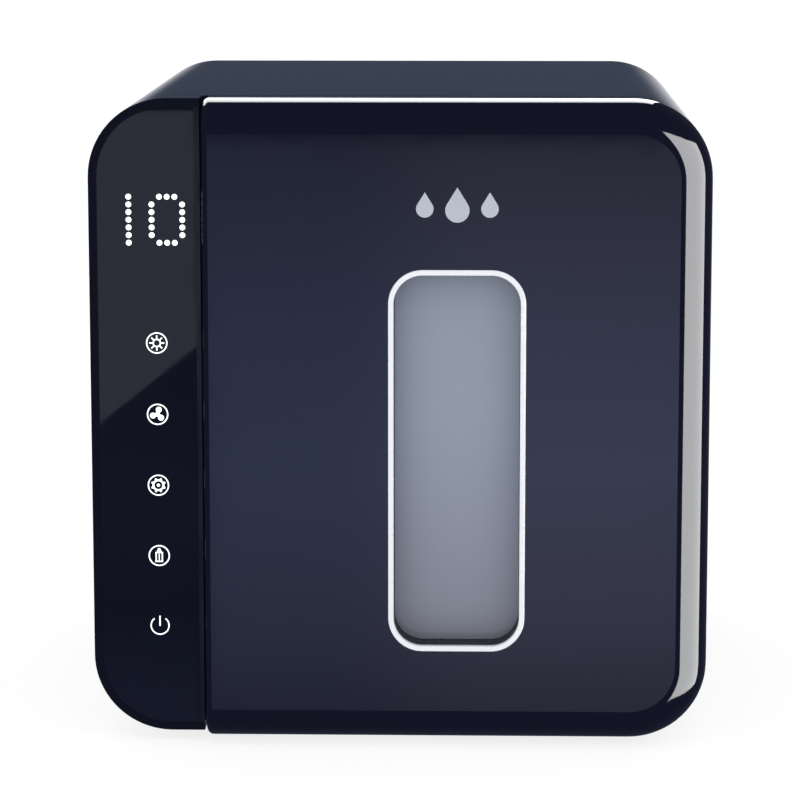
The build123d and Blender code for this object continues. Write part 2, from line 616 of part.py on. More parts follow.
def make_door_cover():
    """Glossy outer shell of the door."""
    shell = door_block(0, Y_DOOR_BACK)
    hollow = door_block(DOOR_WALL, Y_DOOR_BACK - DOOR_WALL)
    mouth = outline(X_DOOR + DOOR_WALL, X_RIGHT - HEEL_PLATE_EDGE + SEAT_GAP, Z_DOOR + DOOR_WALL,
                    Z_TOP - DOOR_WALL, INNER_CORNER_R, 0)
    mouth = slab(mouth, Y_DOOR_BACK - DOOR_WALL - 1, Y_DOOR_BACK)
    mouth = mouth & slab(outline(X_DOOR, X_RIGHT - DOOR_WALL, Z_DOOR + DOOR_WALL, Z_TOP - DOOR_WALL, 0,
                                 CORNER_R - DOOR_WALL), Y_DOOR_BACK - DOOR_WALL - 1, Y_DOOR_BACK)
    shell = shell - hollow - mouth
    shell = shell - slab(window_outline(-TRIM_WIDTH / 2), Y_DOOR_FACE - 1, Y_DOOR_FACE + DOOR_WALL + 1)
    for slot in arm_slots():
        shell = shell - slot
    return shell


def make_window_trim():
    """Bright ring round the window, with a short spigot through the cover."""
    ring = slab(window_outline(0), Y_FRONT, Y_DOOR_FACE)
    ring = ring - slab(window_outline(-TRIM_WIDTH), Y_FRONT, Y_DOOR_FACE)
    ring = chamfer(ring.faces().sort_by(Axis.Y)[0].edges(), TRIM_CHAMFER)
    spigot = slab(window_outline(-TRIM_WIDTH / 2 - SEAT_GAP), Y_DOOR_FACE, Y_FRONT + TRIM_DEPTH)
    spigot = spigot - slab(window_outline(-TRIM_WIDTH), Y_DOOR_FACE, Y_FRONT + TRIM_DEPTH)
    return ring + spigot


def make_window_tunnel():
    """Black lining between the two panes' seats."""
    inside = -TRIM_WIDTH
    front = Y_DOOR_FACE + DOOR_WALL + SEAT_GAP + TUNNEL_FREE
    sleeve = slab(window_outline(inside + TUNNEL_WALL), front, Y_DOOR_BACK)
    sleeve = sleeve - slab(window_outline(inside), front, Y_PANE_BACK)
    sleeve = sleeve - slab(window_outline(inside - PANE_LEDGE), Y_PANE_BACK, Y_INNER_PANE)
    return sleeve - slab(window_outline(inside), Y_INNER_PANE, Y_DOOR_BACK)


def make_window_pane():
    """Smoked front pane that stops ultraviolet light."""
    return slab(window_outline(-TRIM_WIDTH - SEAT_GAP), Y_PANE_BACK - PANE, Y_PANE_BACK)


def make_inner_pane():
    """Clear pane flush with the door's inner panel."""
    return slab(window_outline(-TRIM_WIDTH - SEAT_GAP), Y_INNER_PANE, Y_DOOR_BACK)


def make_door_inner_panel():
    """Inner door panel with the hinge bosses, seats for the strikes and a hole for the window tunnel."""
    inset = DOOR_WALL + SEAT_GAP
    y0 = Y_DOOR_BACK - DOOR_WALL
    plate = outline(X_DOOR + inset, X_RIGHT - HEEL_PLATE_EDGE, Z_DOOR + inset, Z_TOP - inset,
                    INNER_CORNER_R, 0)
    plate = slab(plate, y0, Y_DOOR_BACK)
    limit = outline(X_DOOR, X_RIGHT - inset, Z_DOOR + inset, Z_TOP - inset, 0, CORNER_R - inset)
    plate = plate & slab(limit, y0, Y_DOOR_BACK)
    half = HINGE_PIN_LENGTH / 2
    for z in HINGE_HEIGHTS:
        barrel = disc_z(X_HINGE, Y_HINGE, HINGE_BOSS_R, z - half, z + half)
        x0, x1 = X_HINGE - HINGE_BOSS_R, X_RIGHT - HEEL_PLATE_EDGE
        web = block(x0, x1, Y_HINGE, Y_DOOR_BACK, z - half, z + half)
        plate = plate + barrel + web
    for z in HINGE_HEIGHTS:
        plate = plate - disc_z(X_HINGE, Y_HINGE, HINGE_PIN_R + PIN_CLEARANCE, z - half - 1, z + half + 1)
    for slot in arm_slots():
        plate = plate - slot
    plate = plate - slab(window_outline(-TRIM_WIDTH + TUNNEL_WALL + SEAT_GAP), y0 - 1, Y_DOOR_BACK)
    for pocket in latch_blocks(Y_DOOR_BACK - STRIKE_THICKNESS - SEAT_GAP, Y_DOOR_BACK, SEAT_GAP):
        plate = plate - pocket
    return plate


def make_strike_plates():
    """Steel plates that the magnets hold."""
    return group(latch_blocks(Y_DOOR_BACK - STRIKE_THICKNESS, Y_DOOR_BACK, 0))


DROP_TIP = 1.9             # height of a drop's tip over its middle, in radii


def drop_outline(x, z, radius):
    """Water drop: a circle with a pointed top, tangent to it."""
    tip = radius * DROP_TIP
    base = radius * radius / tip
    side = radius * math.sqrt(1 - (radius / tip) ** 2)
    cone = make_face(Polyline((-side, base), (side, base), (0, tip), close=True))
    return Pos(x, z) * (Circle(radius) + cone)


def make_door_badge():
    """Plain emblem on the door's face: a large drop between two smaller ones."""
    y0 = Y_DOOR_FACE - BADGE_THICKNESS
    drops = []
    for place, share in ((-1, BADGE_SIDE_SHARE), (0, 1.0), (1, BADGE_SIDE_SHARE)):
        radius = BADGE_DROP_R * share
        z = Z_TOP - BADGE_UNDER_TOP - radius * (DROP_TIP - 1) / 2
        drop = drop_outline(X_WINDOW + place * BADGE_PITCH, z, radius)
        drops.append(slab(drop, y0, Y_DOOR_FACE))
    return group(drops)


# ---------------------------------------------------------------- control panel
LENS_SEAT = 2.0
LENS_LAP = 2.2             # how far the lens laps its seat, and its gap to the housing's right side
HOUSING_STEP = 1.5         # lens seat to the housing's hollow
LED_WINDOW_MARGIN = 2.6
LED_HEIGHT = 3.5
TOUCH_HOLE_GAP = 0.5
PAD_THICKNESS = 1.2
PAD_GAP = 0.3              # sensing pad to the lens's seat plane
PAD_STEM_R = 2.0
DISPLAY_BOARD_GAP = 4.5    # lens seat to the board
DISPLAY_BOARD_END = 34.0   # casing's top and underside to the board
DISPLAY_BOARD_LEFT = 8.0
DISPLAY_BOARD_RIGHT = 6.0
DISPLAY_BOARD_R = 2.0

LED_TOP_Z = Z_TOP - LED_UNDER_TOP
LED_LOW_Z = LED_TOP_Z - LED_PITCH * (LED_ROWS - 1)
TOUCH_HEIGHTS = spread(Z_BASE + TOUCH_OVER_BASE, LED_LOW_Z - TOUCH_UNDER_DISPLAY, TOUCH_KEYS)
Y_BOARD = Y_PANEL + LENS_THICKNESS + LENS_SEAT + DISPLAY_BOARD_GAP


def panel_outline(inset, r_right):
    """Control housing's front, seen from the front."""
    x1 = X_PANEL - min(inset, LENS_LAP)
    return outline(X_LEFT + inset, x1, Z_BASE + inset, Z_TOP - inset, CORNER_R - inset, r_right)


def led_points():
    """Places of the display's light dots: a single column and a block, which can show two digits."""
    x0 = X_LEFT + LED_X
    return [(x0 + LED_PITCH * c, LED_TOP_Z - LED_PITCH * r) for c in LED_COLUMNS for r in range(LED_ROWS)]


def make_control_housing():
    """Housing of the touch panel, in front of the bezel."""
    body = slab(panel_outline(0, 0), Y_PANEL, Y_BEZEL - SEAT_GAP)
    front = body.faces().sort_by(Axis.Y)[0]
    right_edge = front.edges().sort_by(Axis.X)[-1]
    rim = [e for e in front.edges() if e != right_edge]
    body = chamfer(rim, PANEL_BEVEL, PANEL_BEVEL_DEPTH, reference=front)
    y_seat = Y_PANEL + LENS_THICKNESS + LENS_SEAT
    hollow = outline(X_LEFT + PANEL_WALL, X_PANEL - PANEL_WALL, Z_BASE + PANEL_WALL, Z_TOP - PANEL_WALL,
                     CORNER_R - PANEL_WALL, 1)
    body = body - slab(hollow, y_seat + HOUSING_STEP, Y_BEZEL)
    body = body - slab(panel_outline(LENS_INSET + LENS_LAP, LENS_R_RIGHT), y_seat, Y_BEZEL)
    body = body - slab(panel_outline(LENS_INSET - SEAT_GAP, LENS_R_RIGHT), Y_PANEL, Y_PANEL + LENS_THICKNESS)
    x0 = X_LEFT + LED_X
    x1 = x0 + LED_PITCH * LED_COLUMNS[-1]
    m = LED_WINDOW_MARGIN
    body = body - slab(outline(x0 - m, x1 + m, LED_LOW_Z - m, LED_TOP_Z + m), Y_PANEL, Y_BEZEL)
    for z in TOUCH_HEIGHTS:
        body = body - disc_y(X_LEFT + TOUCH_X, z, TOUCH_PAD_R + TOUCH_HOLE_GAP, Y_PANEL, Y_BEZEL)
    return body


def make_control_lens():
    """Smooth glossy panel over the display and the touch keys."""
    return slab(panel_outline(LENS_INSET, LENS_R_RIGHT), Y_PANEL, Y_PANEL + LENS_THICKNESS - SEAT_GAP)


def make_display_board():
    """Circuit board behind the panel."""
    shape = outline(X_LEFT + DISPLAY_BOARD_LEFT, X_PANEL - DISPLAY_BOARD_RIGHT, Z_BASE + DISPLAY_BOARD_END,
                    Z_TOP - DISPLAY_BOARD_END, DISPLAY_BOARD_R, DISPLAY_BOARD_R)
    return slab(shape, Y_BOARD, Y_BOARD + BOARD)


def make_display_leds():
    """Light dots on the board, one for each place of the matrix."""
    return group(disc_y(x, z, LED_R, Y_BOARD - LED_HEIGHT, Y_BOARD) for x, z in led_points())


def make_touch_pads():
    """Springy sensing pads between the board and the panel."""
    x = X_LEFT + TOUCH_X
    y0 = Y_PANEL + LENS_THICKNESS + PAD_GAP
    pads = []
    for z in TOUCH_HEIGHTS:
        pad = disc_y(x, z, TOUCH_PAD_R, y0, y0 + PAD_THICKNESS)
        pads.append(pad + disc_y(x, z, PAD_STEM_R, y0, Y_BOARD))
    return group(pads)


# ---------------------------------------------------------------- chamber
LINER_VENTS = 9
VENT_LENGTH = 62.0
VENT_PITCH = 7.0
DRAIN_SLOTS = 5
DRAIN_LENGTH = 30.0
DRAIN_SPREAD = 50.0        # outermost drain slots from the chamber's middle


def liner_outline(grow):
    """Chamber section, seen from the front."""
    radius = OPENING_R + LINER_STEP + grow
    return outline(X_LINER_L - grow, X_LINER_R + grow, Z_LINER_B - grow, Z_LINER_T + grow, radius, radius)


def vent_shapes(count, length, pitch):
    """Sketches of a stack of level slots about the air path's axis."""
    half = pitch * (count - 1) / 2
    return [Pos(X_CHAMBER, z) * SlotOverall(length, SLOT_WIDTH)
            for z in spread(AIR_Z - half, AIR_Z + half, count)]


def make_chamber_liner():
    """Steel box with a front flange, air slots at the back and drain slots in its floor."""
    y0 = Y_BEZEL_BACK + SEAT_GAP
    box = slab(liner_outline(LINER_WALL), y0, Y_LINER_BACK)
    box = box - slab(liner_outline(0), y0, Y_LINER_BACK - LINER_WALL)
    flange = slab(liner_outline(LINER_FLANGE), y0, y0 + LINER_WALL)
    box = box + flange - slab(liner_outline(0), y0, y0 + LINER_WALL)
    for shape in vent_shapes(LINER_VENTS, VENT_LENGTH, VENT_PITCH):
        box = box - slab(shape, Y_LINER_BACK - LINER_WALL - 1, Y_LINER_BACK + 1)
    for x in spread(X_CHAMBER - DRAIN_SPREAD, X_CHAMBER + DRAIN_SPREAD, DRAIN_SLOTS):
        cut = Pos(x, 0, Z_LINER_B - LINER_WALL - 1) * SlotOverall(DRAIN_LENGTH, SLOT_WIDTH, rotation=90)
        box = box - extrude(cut, LINER_WALL + 2)
    return box


RAIL_EDGE_R = 1.2
RACK_SIDE_GAP = 1.5        # rack to the chamber's side walls
RACK_LIFT = 0.1            # rack's rod over the rails
WIRE_SINK = 0.8            # how far the wires are welded into the rod
WIRE_OVERHANG = 1.0
CROSS_RODS = 2
CROSS_ROD_SHARE = 0.8      # their radius to the outer rod's


def make_rack_rails():
    """Two ledges along the chamber's side walls that carry the rack."""
    z0 = RACK_Z - RAIL_THICKNESS
    left = block(X_LINER_L + SEAT_GAP, X_LINER_L + RAIL_WIDTH, Y_SHELF, Y_RACK_END, z0, RACK_Z)
    right = block(X_LINER_R - RAIL_WIDTH, X_LINER_R - SEAT_GAP, Y_SHELF, Y_RACK_END, z0, RACK_Z)
    return group(fillet(rail.edges().filter_by(Axis.Y), RAIL_EDGE_R) for rail in (left, right))


def loop_rod(x0, x1, y0, y1, z, corner, radius):
    """Round rod bent into a level rounded rectangle."""
    path = Pos((x0 + x1) / 2, (y0 + y1) / 2, z) * RectangleRounded(x1 - x0, y1 - y0, corner)
    path = path.wire()
    start = path @ 0
    section = Plane(origin=start, z_dir=path % 0) * Circle(radius)
    return sweep(section, path=path)


def make_bottle_rack():
    """Welded wire shelf on the rails."""
    x0 = X_LINER_L + RACK_SIDE_GAP + RACK_ROD_R
    x1 = X_LINER_R - RACK_SIDE_GAP - RACK_ROD_R
    y0 = Y_SHELF + RACK_ROD_R
    y1 = Y_RACK_END - RACK_ROD_R
    z = RACK_Z + RACK_ROD_R + RACK_LIFT
    rack = loop_rod(x0, x1, y0, y1, z, RACK_CORNER_R, RACK_ROD_R)
    count = int((x1 - x0 - 2 * RACK_CORNER_R) // WIRE_PITCH) + 1
    half = WIRE_PITCH * (count - 1) / 2
    middle = (x0 + x1) / 2
    top = z + RACK_ROD_R + RACK_WIRE_R - WIRE_SINK
    wires = [disc_y(x, top, RACK_WIRE_R, y0 - WIRE_OVERHANG, y1 + WIRE_OVERHANG)
             for x in spread(middle - half, middle + half, count)]
    places = spread(y0, y1, CROSS_RODS + 2)[1:-1]
    bars = [disc_x(y, z, RACK_ROD_R * CROSS_ROD_SHARE, x0, x1) for y in places]
    return join([rack, *bars, *wires])


TRAY_SIDE_GAP = 3.0        # tray to the chamber's side walls
TRAY_EDGE_R = 3.0
TRAY_SLOTS = 8
TRAY_SLOT_MARGIN = 22.0    # tray's sides to the outermost slots
TRAY_SLOT_END = 25.0       # tray's front and back to the slots
TRAY_GRIP_WIDTH = 60.0
TRAY_GRIP_HEIGHT = 20.0
TRAY_FOOT_R = 4.0
TRAY_FOOT_INSET = 20.0


def make_drip_tray():
    """Moulded tray with a slotted floor, a front grip and four feet."""
    x0 = X_LINER_L + TRAY_SIDE_GAP
    x1 = X_LINER_R - TRAY_SIDE_GAP
    y0 = Y_SHELF
    y1 = Y_TRAY_END
    z0 = Z_LINER_B + TRAY_LIFT
    z1 = z0 + TRAY_HEIGHT
    cx, cy = (x0 + x1) / 2, (y0 + y1) / 2
    w, d = x1 - x0, y1 - y0
    tub = extrude(Pos(cx, cy, z0) * RectangleRounded(w, d, RACK_CORNER_R), TRAY_HEIGHT)
    tub = fillet(tub.faces().sort_by(Axis.Z)[0].outer_wire().edges(), TRAY_EDGE_R)
    inside = RectangleRounded(w - 2 * TRAY_WALL, d - 2 * TRAY_WALL, RACK_CORNER_R - TRAY_WALL)
    tub = tub - extrude(Pos(cx, cy, z0 + TRAY_WALL) * inside, TRAY_HEIGHT)
    for x in spread(x0 + TRAY_SLOT_MARGIN, x1 - TRAY_SLOT_MARGIN, TRAY_SLOTS):
        slot = SlotOverall(d - 2 * TRAY_SLOT_END, SLOT_WIDTH, rotation=90)
        tub = tub - extrude(Pos(x, cy, z0 - 1) * slot, TRAY_WALL + 2)
    grip = Pos(cx, z1) * SlotOverall(TRAY_GRIP_WIDTH, TRAY_GRIP_HEIGHT)
    tub = tub - slab(grip, y0 - 1, y0 + TRAY_WALL + 1)
    stubs = [disc_z(x, y, TRAY_FOOT_R, Z_LINER_B + SEAT_GAP, z0 + 0.5)
             for x in (x0 + TRAY_FOOT_INSET, x1 - TRAY_FOOT_INSET)
             for y in (y0 + TRAY_FOOT_INSET, y1 - TRAY_FOOT_INSET)]
    return join([tub, *stubs])


LAMP_END = 4.0             # lamp holders to the chamber's side walls
GLASS_INSET = 0.4          # lamp's cap to its tube, in radius
GLASS_WALL = 1.0
REFLECTOR_R = 5.5          # lamp's cap to its reflector, in radius
REFLECTOR_WALL = 1.0
REFLECTOR_EDGE = 2.0       # lamp's axis to the reflector's rims
REFLECTOR_GAP = 1.0        # reflector and guard rail to the lamp holders
GUARD_HOOPS = 4
GUARD_END = 40.0           # lamp holders' outer ends to the first and last hoop
GUARD_LAP = 1.4            # how far the hoops pass the lamp's axis
LAMP_X0 = X_LINER_L + LAMP_END
LAMP_X1 = X_LINER_R - LAMP_END
LOWER_LAMP_Z = Z_LINER_B + TRAY_LIFT + TRAY_HEIGHT + LAMP_OVER_TRAY + GUARD_WIRE_R + GUARD_SPACE + LAMP_R
UPPER_LAMP = (Y_BEZEL_BACK + UPPER_LAMP_BACK, Z_LINER_T - LAMP_UNDER_CEILING)      # places in Y and Z
LOWER_LAMP = (Y_LINER_BACK - LINER_WALL - LAMP_OFF_WALL, LOWER_LAMP_Z)
LAMPS = (UPPER_LAMP, LOWER_LAMP)


def above_or_behind(lamp, x0, x1, near, reach):
    """Block above the upper lamp or behind the lower one, from near its axis to a reach on every side."""
    y, z = lamp
    if lamp == UPPER_LAMP:
        return block(x0, x1, y - reach, y + reach, z + near, z + reach)
    return block(x0, x1, y + near, y + reach, z - reach, z + reach)


def make_lamp_sockets():
    """Lamp holders: two on the ceiling and two on the back wall."""
    inside = slab(liner_outline(-SEAT_GAP), Y_BEZEL_BACK, Y_LINER_BACK - LINER_WALL - SEAT_GAP)
    reach = LAMP_R + LAMP_SHELL
    sockets = []
    for y, z in LAMPS:
        for x0, x1 in ((LAMP_X0, LAMP_X0 + SOCKET_WIDTH), (LAMP_X1 - SOCKET_WIDTH, LAMP_X1)):
            if (y, z) == UPPER_LAMP:
                body = block(x0, x1, y - reach, y + reach, z, Z_LINER_T)
            else:
                body = block(x0, x1, y, Y_LINER_BACK, z - reach, z + reach)
            body = (body + disc_x(y, z, reach, x0, x1)) & inside
            cap_x0, cap_x1 = (x0 + SOCKET_FLOOR, x1) if x0 == LAMP_X0 else (x0, x1 - SOCKET_FLOOR)
            sockets.append(body - disc_x(y, z, LAMP_R + SEAT_GAP, cap_x0, cap_x1))
    return group(sockets)


def lamp_span():
    """Ends of the lamps between the bottoms of their holders."""
    return LAMP_X0 + SOCKET_FLOOR + SEAT_GAP, LAMP_X1 - SOCKET_FLOOR - SEAT_GAP


def make_lamp_tube(y, z):
    """Quartz tube of one lamp."""
    x0, x1 = lamp_span()
    x0, x1 = x0 + LAMP_CAP_LENGTH, x1 - LAMP_CAP_LENGTH
    radius = LAMP_R - GLASS_INSET
    return disc_x(y, z, radius, x0, x1) - disc_x(y, z, radius - GLASS_WALL, x0, x1)


def make_lamp_caps():
    """Metal caps on the lamps' ends."""
    x0, x1 = lamp_span()
    caps = []
    for y, z in LAMPS:
        caps.append(disc_x(y, z, LAMP_R, x0, x0 + LAMP_CAP_LENGTH - SEAT_GAP))
        caps.append(disc_x(y, z, LAMP_R, x1 - LAMP_CAP_LENGTH + SEAT_GAP, x1))
    return group(caps)


def make_lamp_reflectors():
    """Bright trough behind each lamp."""
    x0 = LAMP_X0 + SOCKET_WIDTH + REFLECTOR_GAP
    x1 = LAMP_X1 - SOCKET_WIDTH - REFLECTOR_GAP
    inner = LAMP_R + REFLECTOR_R
    outer = inner + REFLECTOR_WALL
    troughs = []
    for lamp in LAMPS:
        tube = disc_x(*lamp, outer, x0, x1) - disc_x(*lamp, inner, x0, x1)
        troughs.append(tube & above_or_behind(lamp, x0, x1, REFLECTOR_EDGE, outer + 1))
    return group(troughs)


def make_lamp_guards():
    """Wire hoops that keep hands and bottles off the lamps."""
    radius = LAMP_R + GUARD_SPACE
    rail_x0 = LAMP_X0 + SOCKET_WIDTH + REFLECTOR_GAP
    rail_x1 = LAMP_X1 - SOCKET_WIDTH - REFLECTOR_GAP
    guards = []
    for y, z in LAMPS:
        hoops = []
        for x in spread(LAMP_X0 + GUARD_END, LAMP_X1 - GUARD_END, GUARD_HOOPS):
            ring = Pos(x, y, z) * Rot(0, 90, 0) * Torus(radius, GUARD_WIRE_R)
            far = radius + 2 * GUARD_WIRE_R
            hoops.append(ring - above_or_behind((y, z), x - far, x + far, GUARD_LAP, far))
        rail_y, rail_z = (y, z - radius) if (y, z) == UPPER_LAMP else (y - radius, z)
        rail = disc_x(rail_y, rail_z, GUARD_WIRE_R, rail_x0, rail_x1)
        guards.append(join([rail, *hoops]))
    return group(guards)


# ---------------------------------------------------------------- air path
Y_BULKHEAD = Y_LINER_BACK + SEAT_GAP
Y_HEATER = Y_BULKHEAD + BULKHEAD + SEAT_GAP
Y_FAN = Y_HEATER + HEATER_DEPTH + SEAT_GAP
Y_DUCT = Y_FAN + FAN_DEPTH + SEAT_GAP
FAN_SCREW_R = 1.8
FAN_SCREW_HEAD_R = 3.2
FAN_SCREW_HEAD = 2.4
FAN_HOLE_R = 2.1
FAN_FRAME_R = 5.0
AIR_WINDOW = (66.0, 62.0)
AIR_WINDOW_R = 3.0
BAY_LEFT = 16.0            # casing's left side to the bulkhead's opening for the wires
BAY_RIGHT = 12.0           # chamber to that opening
BAY_BASE = 50.0
BAY_TOP = 60.0
BAY_R = 4.0


def fan_corners():
    """The four fixing holes of the fan."""
    half = FAN_SIZE / 2 - FAN_HOLE_INSET
    return [(X_CHAMBER + sx * half, AIR_Z + sz * half) for sx in (-1, 1) for sz in (-1, 1)]


def air_window(y0, y1):
    """Cut for the air between two depths."""
    return slab(rounded(X_CHAMBER, AIR_Z, *AIR_WINDOW, AIR_WINDOW_R), y0, y1)


def make_bulkhead():
    """Plate across the cabinet that carries the chamber's back, the heater and the fan."""
    plate = slab(casing_outline(CASING_WALL + SLIDE_GAP), Y_BULKHEAD, Y_BULKHEAD + BULKHEAD)
    plate = plate - air_window(Y_BULKHEAD, Y_BULKHEAD + BULKHEAD)
    for x, z in fan_corners():
        plate = plate - disc_y(x, z, FAN_SCREW_R + SCREW_CLEARANCE, Y_BULKHEAD, Y_BULKHEAD + BULKHEAD)
    bay = outline(X_LEFT + BAY_LEFT, X_LINER_L - BAY_RIGHT, Z_BASE + BAY_BASE, Z_TOP - BAY_TOP, BAY_R, BAY_R)
    return plate - slab(bay, Y_BULKHEAD, Y_BULKHEAD + BULKHEAD)


def make_heater_frame():
    """Heat-proof frame round the heating element."""
    y0, y1 = Y_HEATER, Y_HEATER + HEATER_DEPTH
    frame = slab(rounded(X_CHAMBER, AIR_Z, FAN_SIZE, FAN_SIZE, FAN_FRAME_R), y0, y1) - air_window(y0, y1)
    for x, z in fan_corners():
        frame = frame - disc_y(x, z, FAN_HOLE_R, Y_HEATER, Y_HEATER + HEATER_DEPTH)
    return frame


HEATER_BARS = 3
HEATER_BAR = 5.0
HEATER_INSET = 2.0         # heater frame's faces to the bars
HEATER_SIDE_GAP = 0.4
FIN_THICKNESS = 0.8
FIN_REACH = 6.0            # fins past the outer bars' middles
FIN_END = 3.6


def make_heater_element():
    """Ceramic heating bars with aluminium fins."""
    w, h = AIR_WINDOW
    half_w = w / 2 - HEATER_SIDE_GAP
    half_t = HEATER_BAR / 2
    y0, y1 = Y_HEATER + HEATER_INSET, Y_HEATER + HEATER_DEPTH - HEATER_INSET
    bars = [block(X_CHAMBER - half_w, X_CHAMBER + half_w, y0, y1, z - half_t, z + half_t)
            for z in spread(AIR_Z - h / 3, AIR_Z + h / 3, HEATER_BARS)]
    z0, z1 = AIR_Z - h / 3 - FIN_REACH, AIR_Z + h / 3 + FIN_REACH
    fins = [block(x - FIN_THICKNESS / 2, x + FIN_THICKNESS / 2, y0 + 1, y1 - 1, z0, z1)
            for x in spread(X_CHAMBER - half_w + FIN_END, X_CHAMBER + half_w - FIN_END, HEATER_FINS)]
    return join([*bars, *fins])


STRUT_THICKNESS = 3.0
STRUT_WIDTH = 4.0
STRUT_START = 4.0          # struts' inner ends, inside the motor's seat
STRUT_SINK = 2.0           # struts' outer ends, inside the housing
FAN_FRONT_GAP = 1.0        # housing's front to the rotor
FAN_REAR_GAP = 1.0         # rotor to the struts
HUB_EDGE_R = 2.0
BLADE_THICKNESS = 1.6
BLADE_CHORD = 22.0
BLADE_PITCH = 38.0
BLADE_INSET = 1.0          # blades' edges to the hub's ends
BLADE_ROOT = 3.0           # how far a blade starts inside the hub
SHAFT_END = 0.3


def make_fan_frame():
    """Square fan housing with its motor seat on four struts."""
    y0, y1 = Y_FAN, Y_FAN + FAN_DEPTH
    frame = slab(rounded(X_CHAMBER, AIR_Z, FAN_SIZE, FAN_SIZE, FAN_FRAME_R), y0, y1)
    frame = frame - disc_y(X_CHAMBER, AIR_Z, FAN_BORE_R, y0, y1)
    seat = disc_y(X_CHAMBER, AIR_Z, FAN_HUB_R - 1, y1 - STRUT_THICKNESS, y1)
    length = FAN_BORE_R + STRUT_SINK - STRUT_START
    struts = []
    for i in range(4):
        turn = Pos(X_CHAMBER, y1 - STRUT_THICKNESS / 2, AIR_Z) * Rot(0, 45 + 90 * i, 0)
        struts.append(turn * Pos(STRUT_START + length / 2, 0, 0) * Box(length, STRUT_THICKNESS, STRUT_WIDTH))
    frame = join([frame, seat, *struts])
    for x, z in fan_corners():
        frame = frame - disc_y(x, z, FAN_HOLE_R, y0, y1)
    return frame - disc_y(X_CHAMBER, AIR_Z, FAN_SHAFT_R + PIN_CLEARANCE, y1 - STRUT_THICKNESS, y1)


def make_fan_impeller():
    """Seven-bladed rotor and its shaft."""
    y0 = Y_FAN + FAN_FRONT_GAP
    y1 = Y_FAN + FAN_DEPTH - STRUT_THICKNESS - FAN_REAR_GAP
    hub = disc_y(X_CHAMBER, AIR_Z, FAN_HUB_R, y0, y1)
    hub = fillet(hub.edges().filter_by(GeomType.CIRCLE).sort_by(Axis.Y)[0], HUB_EDGE_R)
    tip = FAN_BORE_R - FAN_TIP_GAP
    swept = disc_y(X_CHAMBER, AIR_Z, tip, y0 + BLADE_INSET, y1 - BLADE_INSET)
    length = tip - FAN_HUB_R + 2 * BLADE_ROOT
    blades = []
    for i in range(FAN_BLADES):
        turn = Pos(X_CHAMBER, (y0 + y1) / 2, AIR_Z) * Rot(0, 360 / FAN_BLADES * i, 0)
        lean = Pos((FAN_HUB_R + tip) / 2, 0, 0) * Rot(BLADE_PITCH, 0, 0)
        blades.append(turn * lean * Box(length, BLADE_CHORD, BLADE_THICKNESS) & swept)
    shaft = disc_y(X_CHAMBER, AIR_Z, FAN_SHAFT_R, y1 - 1, Y_FAN + FAN_DEPTH - SHAFT_END)
    return join([hub, *blades, shaft])


def make_fan_screws():
    """Long screws through the fan and the heater into the bulkhead."""
    length = FAN_DEPTH + HEATER_DEPTH + BULKHEAD + 2 * SEAT_GAP
    y = Y_FAN + FAN_DEPTH
    return group(pan_screw(x, z, y, -1, length, FAN_SCREW_R, FAN_SCREW_HEAD_R, FAN_SCREW_HEAD)
                 for x, z in fan_corners())


DUCT_END_GAP = 1.0         # more than the seat's gap, to the rear cover
DUCT_R = 5.0
DUCT_HEAD_GAP = 0.4        # radial, round the fan screws' heads
DUCT_HEAD_ROOM = 3.0


def make_filter_duct():
    """Square duct that holds the air filter between the fan and the rear cover."""
    inner = FILTER_SIZE + 2 * SLIDE_GAP
    size = inner + 2 * DUCT_WALL
    y1 = Y_REAR_INNER - SEAT_GAP - DUCT_END_GAP
    duct = slab(rounded(X_CHAMBER, AIR_Z, size, size, DUCT_R), Y_DUCT, y1)
    duct = duct - slab(rounded(X_CHAMBER, AIR_Z, inner, inner, DUCT_R - DUCT_WALL), Y_DUCT + DUCT_FLOOR, y1)
    duct = duct - disc_y(X_CHAMBER, AIR_Z, FAN_BORE_R - 1, Y_DUCT, Y_DUCT + DUCT_FLOOR)
    for x, z in fan_corners():
        duct = duct - disc_y(x, z, FAN_SCREW_HEAD_R + DUCT_HEAD_GAP, Y_DUCT, Y_DUCT + DUCT_HEAD_ROOM)
    return duct


FILTER_R = 2.5
FILTER_FRAME = 3.0         # wall of the filter's frame
SPIGOT_WALL = 2.5
SPIGOT_R = 1.0             # corners inside the frame and the spigot
MEDIA_GAP = 0.3            # paper to the frame
MEDIA_FRONT = 1.0          # frame's front to the pleats
MEDIA_BACK = 2.0
MEDIA_THICKNESS = 1.2
PLEATS = 12
COVER_EDGE_R = 0.8
LOUVRE_INSET = 12.0        # louvres shorter than the filter
DIMPLE_LENGTH = 26.0
DIMPLE_WIDTH = 5.0
DIMPLE_DEPTH = 1.4
DIMPLE_UNDER_TOP = 5.0     # cover's upper side to the dimple's middle
Y_FILTER = Y_DUCT + DUCT_FLOOR + SEAT_GAP
Y_FILTER_BACK = Y_FILTER + FILTER_DEPTH


def make_filter_frame():
    """Frame of the replaceable filter, carried by the cover's spigot."""
    inner = FILTER_SIZE - 2 * FILTER_FRAME
    frame = slab(rounded(X_CHAMBER, AIR_Z, FILTER_SIZE, FILTER_SIZE, FILTER_R), Y_FILTER, Y_FILTER_BACK)
    return frame - slab(rounded(X_CHAMBER, AIR_Z, inner, inner, SPIGOT_R), Y_FILTER, Y_FILTER_BACK)


